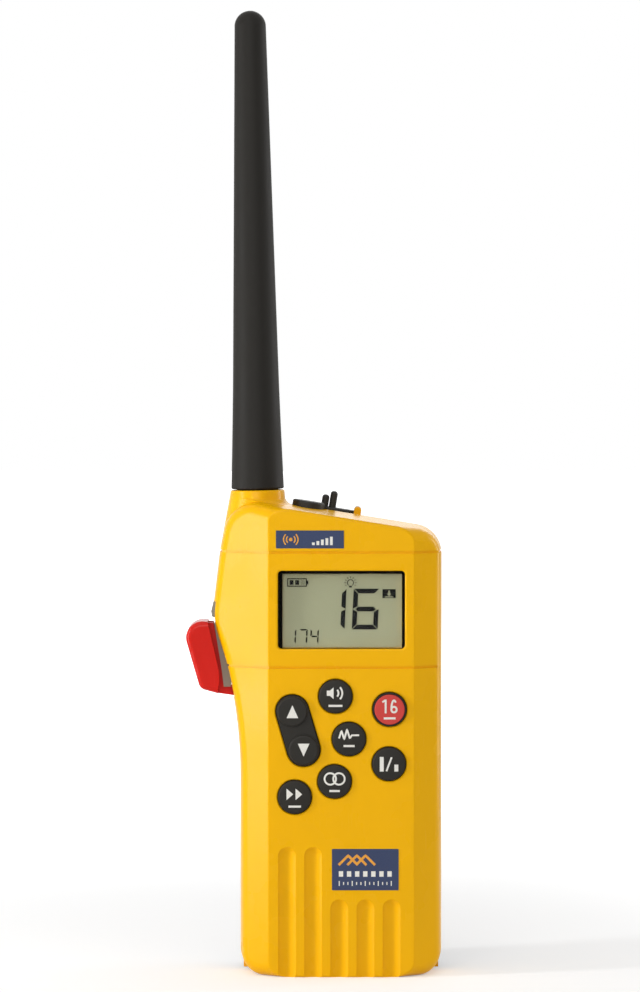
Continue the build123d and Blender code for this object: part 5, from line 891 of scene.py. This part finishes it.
# ------------------------------------------------------------------ display
@dataclass
class Display(Assembly):
    """Window, panel and what the panel shows: channel number, small symbols, a short number."""

    dressing: Dressing = (
        (Finish.WINDOW, ("display_window",)),
        (Finish.GASKET, ("window_gasket",)),
        (Finish.CRYSTAL, ("lcd_panel",)),
        (Finish.LIGHT, ("lcd_backlight",)),
    )
    face_y: float = -15.4
    lift: float = 0.16
    thick: float = 0.03
    digit_height: float = 14.1
    digit_width: float = 8.95
    stroke: float = 1.62
    gap: float = 0.16
    slant: float = 0.05
    blunt: float = 0.02         # height of the middle segment's tips
    digit_foot: float = 120.6
    six_left: float = 3.62
    one_left: float = -4.806
    one_width: float = 5.95
    one_stroke: float = 1.5
    lamp_centre: tuple[float, float] = (3.2, 136.75)
    lamp_radius: float = 1.06
    ray_start: float = 1.6
    ray_pen: float = 0.22
    cell_low: tuple[float, float] = (-18.7, 135.4)
    cell_high: tuple[float, float] = (-11.9, 138.3)
    cell_wall: float = 0.34
    cell_bar: float = 1.35      # width of a charge bar
    cell_pitch: float = 1.95
    receive_place: tuple[float, float] = (16.55, 133.0)
    small_place: tuple[float, float] = (-18.4, 115.6)
    small_size: tuple[float, float] = (2.9, 5.1)
    small_stroke: float = 0.5
    small_pitch: float = 3.9

    @property
    def place(self) -> Placement:
        """The panel's face, with positions counted from the radio's own origin."""
        return Placement((0, self.face_y, 0))

    def show(
        self,
        name: str,
        patches: Sequence[Grid],
        finish: Finish = Finish.SEGMENT,
        extra: float = 0.0,
    ) -> None:
        """Put marks on the panel as one piece.

        Args:
            name: Name of the piece.
            patches: The marks, in the radio's own X and Z.
            finish: Their finish.
            extra: Height over the other marks.
        """
        mesh = Mesh()
        mesh.marks(patches, self.place, self.lift + extra, self.thick)
        mesh.build(name, finish, "radio")

    def lean(self, patch: Grid) -> Grid:
        """Shear a patch so that it leans to the right as it rises.

        Args:
            patch: Grid of points across and up.

        Returns:
            The leaning grid.
        """
        leaned = patch.copy()
        leaned[..., 0] += (patch[..., 1] - self.digit_foot) * self.slant
        return leaned

    def segments(
        self, foot: tuple[float, float], size: tuple[float, float], stroke: float, lit: str
    ) -> list[Grid]:
        """Lit segments of one seven-segment digit.

        Each segment is ruled between its outer and its inner edge, whose ends are cut at 45
        degrees so that neighbours meet on a mitre with a gap.

        Args:
            foot: Lower left corner of the digit.
            size: Its width and height.
            stroke: Width of a segment.
            lit: Letters a to g of the segments to draw.

        Returns:
            One patch per lit segment.
        """
        width, height = size
        g, s, mid = self.gap, stroke, height / 2
        right, top, inner = width - g, height - s - g, width - s - g
        under, over, start = mid - s / 2 - g, mid + s / 2 + g, s + g
        tips = (s / 2 + g, width - s / 2 - g)
        edges = {
            "a": ([(g, height), (right, height)], [(start, height - s), (inner, height - s)]),
            "b": ([(width - s, over), (width - s, top)], [(width, mid + g / 2), (width, height - g)]),
            "c": ([(width - s, start), (width - s, under)], [(width, g), (width, mid - g / 2)]),
            "d": ([(start, s), (inner, s)], [(g, 0), (right, 0)]),
            "e": ([(0, g), (0, mid - g / 2)], [(s, start), (s, under)]),
            "f": ([(0, mid + g / 2), (0, height - g)], [(s, over), (s, top)]),
            "g": tuple(
                [(tips[0], mid - sunk), (start, mid + rise), (inner, mid + rise), (tips[1], mid - sunk)]
                for rise, sunk in ((s / 2, 0.0), (-s / 2, self.blunt))
            ),
        }
        return [ruled(*edges[name]) + foot for name in lit]

    def channel(self) -> None:
        """The large channel number, sixteen."""
        foot, height = self.digit_foot, self.digit_height
        size = (self.digit_width, height)
        six = self.segments((self.six_left, foot), size, self.stroke, "acdefg")
        one = self.segments((self.one_left, foot), (self.one_width, height), self.one_stroke, "bc")
        self.show("channel_digits", [self.lean(patch) for patch in six + one])

    def lamp(self) -> None:
        """Backlight symbol: a lamp outline with rays."""
        centre = np.array(self.lamp_centre)
        outline = ribbon(arc(centre, self.lamp_radius, -55, 235, 33), 0.26)
        neck = bar(centre + (0, -self.lamp_radius - 0.28), (0.95, 0.62))
        upper = [(turn, 2.2) for turn in range(0, 181, 30)]
        rays = []
        for turn, reach in (*upper, (-28, 2.1), (208, 2.1)):
            out = np.array((math.cos(math.radians(turn)), math.sin(math.radians(turn))))
            path = line(centre + out * self.ray_start, centre + out * reach)
            rays.append(ribbon(path, self.ray_pen))
        self.show("lamp_symbol", [outline, neck, *rays])

    def battery(self) -> None:
        """Charge symbol: an outlined cell with two of three bars lit."""
        (left, low), (right, high), wall = self.cell_low, self.cell_high, self.cell_wall
        x, z, width, height = (left + right) / 2, (low + high) / 2, right - left, high - low
        outline = [
            bar((x, low + wall / 2), (width, wall)),
            bar((x, high - wall / 2), (width, wall)),
            bar((left + wall / 2, z), (wall, height)),
            bar((right - wall / 2, z), (wall, height)),
            bar((right + 0.25, z), (0.5, 1.3)),
        ]
        places = [left + 1.5 + step * self.cell_pitch for step in range(3)]
        bars = [bar((place, z), (self.cell_bar, height - 1.3)) for place in places]
        self.show("battery_symbol", outline + bars[:2])
        self.show("battery_symbol_off", bars[2:], Finish.GHOST)

    def receive(self) -> None:
        """Receive flag: a dark box with a pale arrow that points down into a tray."""
        x, z = self.receive_place
        self.show("receive_box", [bar((x, z), (4.6, 3.1))])
        arrow = [
            ribbon(line((x, z + 1.05), (x, z - 0.1)), 0.5),
            ruled([(x - 0.85, z), (x, z - 0.85)], [(x + 0.85, z), (x + 0.01, z - 0.85)]),
            ribbon(line((x - 1.4, z - 1.12), (x + 1.4, z - 1.12)), 0.34),
        ]
        self.show("receive_arrow", arrow, Finish.CRYSTAL, 0.02)

    def small_number(self) -> None:
        """Three thin digits in the lower left corner."""
        left, foot = self.small_place
        patches: list[Grid] = []
        for number, lit in enumerate(("bc", "abc", "bcfg")):
            corner = (left + number * self.small_pitch, foot)
            patches += self.segments(corner, self.small_size, self.small_stroke, lit)
        self.show("small_digits", [self.lean(patch) for patch in patches])

    def build(self) -> None:
        """Draw all of the panel's marks."""
        self.channel()
        self.lamp()
        self.battery()
        self.receive()
        self.small_number()


# ------------------------------------------------------------------ keys
@dataclass
class Keypad(Assembly):
    """Keys and rocker, with plain printed pictures and the number sixteen."""

    dressing: Dressing = (
        (
            Finish.KEY,
            (
                "key_volume",
                "key_squelch",
                "key_dual_watch",
                "key_scan",
                "key_power_level",
                "key_channel_16",
                "channel_rocker",
            ),
        ),
        (Finish.CAP, ("key_channel_16_cap",)),
        (Finish.MAT, ("keypad_mat",)),
    )
    dome_sag: float = 0.35
    dome_rim: float = 5.8
    pen: float = 0.52
    scale: float = 1.2
    underline_height: float = 0.62
    arrow_half: float = 2.0     # half width of the rocker's arrowheads
    arrow_tip: float = 0.03     # half width left at their tips
    arrow_places: tuple[tuple[float, float], ...] = ((-16.88, 92.45), (-13.02, 79.11))

    @property
    def dome_radius(self) -> float:
        """Radius of a key's dome: (rim squared plus sag squared) over twice the sag."""
        return (self.dome_rim**2 + self.dome_sag**2) / (2 * self.dome_sag)

    def on_key(self, node: str, domed: bool = True) -> Placement:
        """Top of a key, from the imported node's own box.

        Args:
            node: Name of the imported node.
            domed: Whether the top is the common dome or flat.

        Returns:
            The placement, with its origin at the middle of the top.
        """
        low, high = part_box(node)
        centre = (low + high) / (2 * MM)
        radius = self.dome_radius if domed else 0.0
        return Placement((centre.x, low.y / MM, centre.z), dome_radius=radius)

    def print_on(self, key: str, body: str, patches: Sequence[Grid], place: Placement) -> None:
        """Put one key's marks on it as one piece.

        Args:
            key: Name of the key.
            body: Body that it belongs to.
            patches: The marks, before they are scaled.
            place: Top of the key.
        """
        mesh = Mesh()
        mesh.marks([patch * self.scale for patch in patches], place, INK_LIFT, INK)
        mesh.build(f"legend_{key}", Finish.LEGEND, body)

    def underline(self, width: float, z: float = -2.65) -> Grid:
        """Short bar under a picture, which stands for the key's second function."""
        return bar((0, z), (width, self.underline_height))

    def volume(self) -> list[Grid]:
        """Loudspeaker with two sound waves.

        Returns:
            One patch per mark.
        """
        foot = [(-2.5, 0.25), (-1.6, 0.25), (-0.55, -0.7)]
        head = [(-2.5, 1.75), (-1.6, 1.75), (-0.55, 2.7)]
        horn = ruled(foot, head, 7)
        waves = [ribbon(arc((-0.6, 1.0), radius, -42, 42, 15), self.pen) for radius in (1.45, 2.55)]
        return [horn, *waves, self.underline(4.0)]

    def squelch(self) -> list[Grid]:
        """Noise that jumps above a level line, left of a quiet stretch.

        Each coordinate is interpolated in straight lines from peak to peak.

        Returns:
            One patch per mark.
        """
        places = (-2.9, -2.2, -1.4, -0.6, 0.2, 0.8, 2.9)
        heights = (0.3, 2.5, 0.0, 2.9, 0.3, 1.2, 1.2)
        share = np.linspace(0, len(places) - 1, 49)
        whole = np.arange(len(places))
        path = np.stack([np.interp(share, whole, peaks) for peaks in (places, heights)], axis=1)
        return [ribbon(path, self.pen), self.underline(3.2, -1.9)]

    def power_level(self) -> list[Grid]:
        """One tall and one short bar either side of a slash.

        Returns:
            One patch per mark.
        """
        return [
            bar((-2.1, 0), (1.15, 4.2)),
            ribbon(line((-0.75, -2.0), (0.75, 2.0), 5), self.pen),
            bar((2.1, -1.1), (1.15, 2.0)),
        ]

    def dual_watch(self) -> list[Grid]:
        """Two rings that overlap, for two channels heard in turn."""
        rings = [ribbon(arc((side * 1.25, 0.85), 1.65, 0, 360, 37), self.pen) for side in (-1, 1)]
        return [*rings, self.underline(3.0)]

    def scan(self) -> list[Grid]:
        """Two arrowheads that run to the right.

        Returns:
            One patch per mark.
        """
        heads = [
            ruled(line((x, -0.75), (x + 1.9, 0.88), 6), line((x, 2.55), (x + 1.9, 0.92), 6), 6)
            for x in (-2.35, 0.25)
        ]
        return [*heads, self.underline(3.6)]

    def build(self) -> None:
        """Print every key."""
        legends = {
            "volume": self.volume(),
            "squelch": self.squelch(),
            "power_level": self.power_level(),
            "dual_watch": self.dual_watch(),
            "scan": self.scan(),
        }
        for key, patches in legends.items():
            self.print_on(key, f"{key}_key", patches, self.on_key(f"key_{key}"))
        numerals = Numerals(4.0, 0.56)
        sixteen = numerals.one(-1.15, 0.95) + numerals.six(1.25, 0.95)
        cap = self.on_key("key_channel_16_cap", domed=False)
        self.print_on("channel_16", "channel_16_key", [*sixteen, self.underline(3.4, -2.5)], cap)
        self.rocker()

    def rocker(self) -> None:
        """Up and down arrowheads on the rocker's two pads."""
        low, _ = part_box("channel_rocker")
        face_y = low.y / MM
        mesh = Mesh()
        for (x, z), way in zip(self.arrow_places, (1, -1)):
            foot, tip = z - way * 2.25, z + way * 2.15
            left, right = (
                [(x + side * self.arrow_half, foot), (x + side * self.arrow_tip, tip)]
                for side in (-1, 1)
            )
            mesh.marks([ruled(left, right, 3)], Placement((0, face_y, 0)), INK_LIFT, INK)
        mesh.build("legend_rocker", Finish.LEGEND, "rocker")


# ------------------------------------------------------------------ labels
@dataclass
class Label:
    """Slate-blue plate stuck on the front face."""

    name: str
    left: float
    right: float
    foot: float
    head: float
    face_y: float = -19.0
    thick: float = 0.16
    corner: float = 0.25
    edge: float = 0.05
    sunk: float = 0.03          # how far its back reaches into the face

    @property
    def centre(self) -> tuple[float, float]:
        """Middle of the plate."""
        return (self.left + self.right) / 2, (self.foot + self.head) / 2

    def plate(self) -> None:
        """The plate: rounded rings from its back edge, up its side and over a small bevel."""
        width, height = self.right - self.left, self.head - self.foot
        place = Placement((self.centre[0], self.face_y, self.centre[1]))
        steps = ((0.0, -self.sunk), (0.0, self.thick - self.edge), (self.edge, self.thick))
        rings = [
            place.solid(rounded(width - 2 * inset, height - 2 * inset, self.corner - inset), lift)
            for inset, lift in steps
        ]
        mesh = Mesh()
        mesh.loft(np.stack(rings))
        mesh.build(self.name, Finish.PLATE, "radio")

    def decorate(self, suffix: str, patches: Sequence[Grid], finish: Finish) -> None:
        """Print a pattern on the plate as one piece.

        Args:
            suffix: What the piece's name ends with.
            patches: The marks, counted from the middle of the plate.
            finish: Their finish.
        """
        mesh = Mesh()
        place = Placement((self.centre[0], self.face_y - self.thick, self.centre[1]))
        mesh.marks(patches, place, INK_LIFT / 2, INK / 2)
        mesh.build(f"{self.name}_{suffix}", finish, "radio")


@dataclass
class Housing(Assembly):
    """Shells and top cover, with the two plates on the front, each with a plain pattern."""

    dressing: Dressing = (
        (Finish.SHELL, ("front_housing", "rear_housing", "top_cover")),
        (Finish.SHELL_SEAL, ("housing_seal",)),
        (Finish.SEAL, ("top_seal",)),
        (Finish.STEEL, ("housing_screws", "top_cover_screws")),
    )
    upper: Label = field(default_factory=lambda: Label("upper_label", -22.57, 0.90, 148.80, 154.99))
    lower: Label = field(default_factory=lambda: Label("lower_label", -3.23, 19.85, 30.39, 44.73))

    def upper_pattern(self) -> None:
        """Round waves either side of a dot, and five bars that grow to the right."""
        middle = (-6.6, 0)
        waves = [
            ribbon(arc(middle, radius, side - 46, side + 46, 17), 0.42)
            for radius in (1.5, 2.5)
            for side in (0, 180)
        ]
        dot = ribbon(arc(middle, 0.32, 0, 360, 17), 0.6)
        self.upper.decorate("waves", [*waves, dot], Finish.PLATE_AMBER)
        pitch, growth = 1.55, 0.5
        bars = [
            bar((1.2 + pitch * step, -1.5 + growth / 2 * step), (0.95, 0.9 + growth * step))
            for step in range(5)
        ]
        self.upper.decorate("bars", bars, Finish.PLATE_PALE)

    def lower_pattern(self) -> None:
        """Three chevrons that overlap, a row of squares and a graduated scale."""
        foot, peak, half, pitch = 1.6, 4.9, 3.3, 3.0
        chevrons = []
        for step in range(3):
            x = -5.9 + pitch * step
            rise = line((x - half, foot), (x, peak), 12)
            fall = line((x, peak), (x + half, foot), 12)
            chevrons.append(ribbon(np.concatenate([rise, fall[1:]]), 0.85))
        self.lower.decorate("chevrons", chevrons, Finish.PLATE_AMBER)
        squares = [bar((-8.4 + 2.8 * step, -1.5), (1.5, 1.9)) for step in range(7)]
        long_tick, short_tick = (0.35, 1.7), (0.35, 1.0)
        ticks = [
            bar((-9.0 + 1.5 * step, -4.8), short_tick if step % 3 else long_tick)
            for step in range(13)
        ]
        self.lower.decorate("scale", squares + ticks, Finish.PLATE_PALE)

    def build(self) -> None:
        """Make both plates and their patterns."""
        self.upper.plate()
        self.upper_pattern()
        self.lower.plate()
        self.lower_pattern()


# ------------------------------------------------------------------ packed sub-assemblies
@dataclass
class Antenna(Assembly):
    """Rubber whip on its threaded ferrule, with its core, ring and socket."""

    dressing: Dressing = (
        (Finish.WHIP, ("antenna_whip",)),
        (Finish.SEAL, ("antenna_o_ring",)),
        (Finish.STEEL, ("antenna_element",)),
        (Finish.BRASS, ("antenna_socket", "antenna_ferrule")),
        (Finish.INSULATOR, ("antenna_socket_insulator",)),
    )


@dataclass
class TopControls(Assembly):
    """Power button and the accessory socket under its rubber cover."""

    dressing: Dressing = (
        (Finish.SOFT_BLACK, ("power_button", "socket_cover")),
        (Finish.CLIP, ("accessory_socket", "power_switch")),
        (Finish.STEEL, ("socket_cover_pin",)),
        (Finish.BOARD, ("top_board",)),
    )


@dataclass
class TalkLever(Assembly):
    """Push-to-talk lever with its pin, and the boot, button and switch behind it."""

    dressing: Dressing = (
        (Finish.LEVER, ("ptt_lever",)),
        (Finish.BOOT, ("ptt_boot", "ptt_button")),
        (Finish.CLIP, ("ptt_switch",)),
        (Finish.STEEL, ("ptt_pin",)),
    )


@dataclass
class BatteryPack(Assembly):
    """Pack on the back, with its cells, contacts, seal and captive screw."""

    dressing: Dressing = (
        (Finish.PACK, ("battery_case", "battery_cover")),
        (Finish.WRAP, ("battery_cells",)),
        (Finish.SEAL, ("battery_seal",)),
        (Finish.CLIP, ("battery_screw",)),
        (Finish.STEEL, ("battery_screw_washer",)),
        (Finish.BRASS, ("battery_contacts", "battery_terminals", "battery_screw_insert")),
    )


@dataclass
class BeltClip(Assembly):
    """Sprung belt clip on the pack."""

    dressing: Dressing = (
        (Finish.CLIP, ("belt_clip_base", "belt_clip_lever")),
        (Finish.STEEL, ("belt_clip_pin", "belt_clip_spring", "belt_clip_screws")),
    )


@dataclass
class Interior(Assembly):
    """Main board with its shield, loudspeaker and microphone."""

    dressing: Dressing = (
        (Finish.BOARD, ("main_board",)),
        (Finish.STEEL, ("rf_shield", "speaker", "microphone", "board_screws")),
        (Finish.CONE, ("speaker_cone",)),
    )


# ------------------------------------------------------------------ studio
@dataclass(frozen=True)
class Lamp:
    """Soft rectangular lamp, aimed at a point on the radio."""

    name: str
    place: tuple[float, float, float]
    aim: tuple[float, float, float]
    size: tuple[float, float]
    watts: float

    def hang(self) -> None:
        """Put the lamp in the scene; its place and size are in metres."""
        data = bpy.data.lights.new(self.name, "AREA")
        data.shape = "RECTANGLE"
        data.size, data.size_y = self.size
        data.energy = self.watts
        lamp = bpy.data.objects.new(self.name, data)
        lamp.location = self.place
        aim = Vector(self.aim) - Vector(self.place)
        lamp.rotation_euler = aim.to_track_quat("-Z", "Y").to_euler()
        bpy.context.scene.collection.objects.link(lamp)


@dataclass(frozen=True)
class Camera:
    """Camera before the front face, a little above the level of its target."""

    target: tuple[float, float, float] = (-7.35, -19.0, 166.9)
    elevation: float = 2.0
    distance: float = 1500.0
    lens: float = 157.8
    film: float = 36.0

    def place(self) -> None:
        """Create the camera and make it the scene's own."""
        data = bpy.data.cameras.new("camera")
        data.lens = self.lens
        data.sensor_fit = "VERTICAL"
        data.sensor_height = self.film
        data.clip_start, data.clip_end = 0.01, 30.0
        camera = bpy.data.objects.new("camera", data)
        rise = math.radians(self.elevation)
        back = Vector((0, -math.cos(rise), math.sin(rise))) * self.distance * MM
        camera.location = Vector(self.target) * MM + back
        camera.rotation_euler = (-back).to_track_quat("-Z", "Y").to_euler()
        bpy.context.scene.collection.objects.link(camera)
        bpy.context.scene.camera = camera


@dataclass
class Studio:
    """Plain white floor, pale surroundings and soft lamps; its lengths are in metres."""

    floor_size: float = 12.0
    floor_tone: tuple[float, float] = (0.80, 0.82)
    surround: float = 0.35
    mirrored: float = 0.2
    glow_start: float = 0.12    # distance from the radio where the floor's glow grows
    glow_end: float = 0.75
    glow: tuple[float, float] = (0.12, 0.9)
    lamps: tuple[Lamp, ...] = (
        Lamp("side_light", (-0.45, -0.16, 0.16), (0, 0, 0.11), (0.055, 0.36), 1.35),
        Lamp("top_light", (-0.25, -0.55, 1.25), (0, 0, 0.1), (1.2, 0.9), 2.8),
        Lamp("front_light", (-0.35, -1.9, 0.75), (0, 0, 0.12), (1.0, 0.8), 9.0),
        Lamp("rim_light", (0.62, 0.22, 0.22), (0, 0, 0.12), (0.08, 0.5), 1.4),
        Lamp("back_light", (0.3, 1.6, 0.9), (0, 0, 0.12), (1.2, 0.9), 5.0),
    )

    def seen(self, tree: bpy.types.NodeTree) -> Socket:
        """One for rays from the camera, from gloss and through glass, and nought for the rest.

        Args:
            tree: Node tree to add the test to.

        Returns:
            The test's result.
        """
        path = tree.nodes.new("ShaderNodeLightPath")
        total = path.outputs["Is Camera Ray"]
        for name in ("Is Glossy Ray", "Is Transmission Ray"):
            node = tree.nodes.new("ShaderNodeMath")
            node.operation = "MAXIMUM"
            tree.links.new(total, node.inputs[0])
            tree.links.new(path.outputs[name], node.inputs[1])
            total = node.outputs[0]
        return total

    def sky(self) -> None:
        """Surroundings: white where they are seen, and a plain grey light elsewhere."""
        world = bpy.data.worlds.new("surroundings")
        world.use_nodes = True
        tree = world.node_tree
        background = tree.nodes["Background"]
        background.inputs["Color"].default_value = (1, 1, 1, 1)
        strength = tree.nodes.new("ShaderNodeMapRange")
        tree.links.new(self.seen(tree), strength.inputs[0])
        strength.inputs["To Min"].default_value = self.surround
        strength.inputs["To Max"].default_value = 1.0
        tree.links.new(strength.outputs[0], background.inputs["Strength"])
        bpy.context.scene.world = world

    def floor(self) -> None:
        """Pale floor that shows white with the radio's own soft shadow."""
        half = self.floor_size / 2
        corners = [(-half, -half, 0), (half, -half, 0), (half, half, 0), (-half, half, 0)]
        mesh = bpy.data.meshes.new("floor")
        mesh.from_pydata(corners, [], [(0, 1, 2, 3)])
        graph = Graph("floor_white")
        low, high = ((tone, tone, tone) for tone in self.floor_tone)
        grain = graph.mix(graph.noise(40.0), low, high)
        graph.surface(base_color=grain, roughness=0.9, specular_ior_level=0.0)
        glow = graph.add("ShaderNodeEmission")
        glow.inputs["Color"].default_value = (1, 1, 1, 1)
        reach = graph.add("ShaderNodeVectorMath", operation="LENGTH")
        graph.feed(reach.inputs[0], graph.place)
        fill = graph.span(reach.outputs["Value"], self.glow_start, self.glow_end, self.glow)
        near = graph.add("ShaderNodeLightPath").outputs["Is Camera Ray"]
        fill = graph.maths("ADD", graph.maths("MULTIPLY", fill, near), self.mirrored)
        graph.feed(glow.inputs["Strength"], graph.maths("MULTIPLY", self.seen(graph.tree), fill))
        both = graph.add("ShaderNodeAddShader")
        graph.feed(both.inputs[0], graph.shader.outputs[0])
        graph.feed(both.inputs[1], glow.outputs[0])
        graph.feed(graph.output.inputs[0], both.outputs[0])
        mesh.materials.append(graph.material)
        floor = bpy.data.objects.new("floor", mesh)
        bpy.context.scene.collection.objects.link(floor)

    def build(self) -> None:
        """Set up the whole studio."""
        self.sky()
        self.floor()
        for lamp in self.lamps:
            lamp.hang()
        Camera().place()
        bpy.context.scene.view_settings.view_transform = "Standard"


def corners(box: tuple[Vector, Vector]) -> list[list[float]]:
    """A box's two corners as plain lists."""
    return [[float(value) for value in corner] for corner in box]


def main() -> None:
    """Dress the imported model, add the printed pieces and light the studio."""
    logging.basicConfig(level=logging.INFO, format="%(name)s: %(message)s")
    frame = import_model()
    assemblies = (
        Housing(),
        Antenna(),
        Display(),
        Keypad(),
        TopControls(),
        TalkLever(),
        BatteryPack(),
        BeltClip(),
        Interior(),
    )
    for assembly in assemblies:
        assembly.dress(frame["nodes"])
        assembly.build()
    dressed = {name for assembly in assemblies for _, names in assembly.dressing for name in names}
    LOG.info("%d nodes dressed, bare: %s", len(dressed), sorted(set(frame["nodes"]) - dressed))
    Studio().build()


if __name__ == "__main__":
    main()
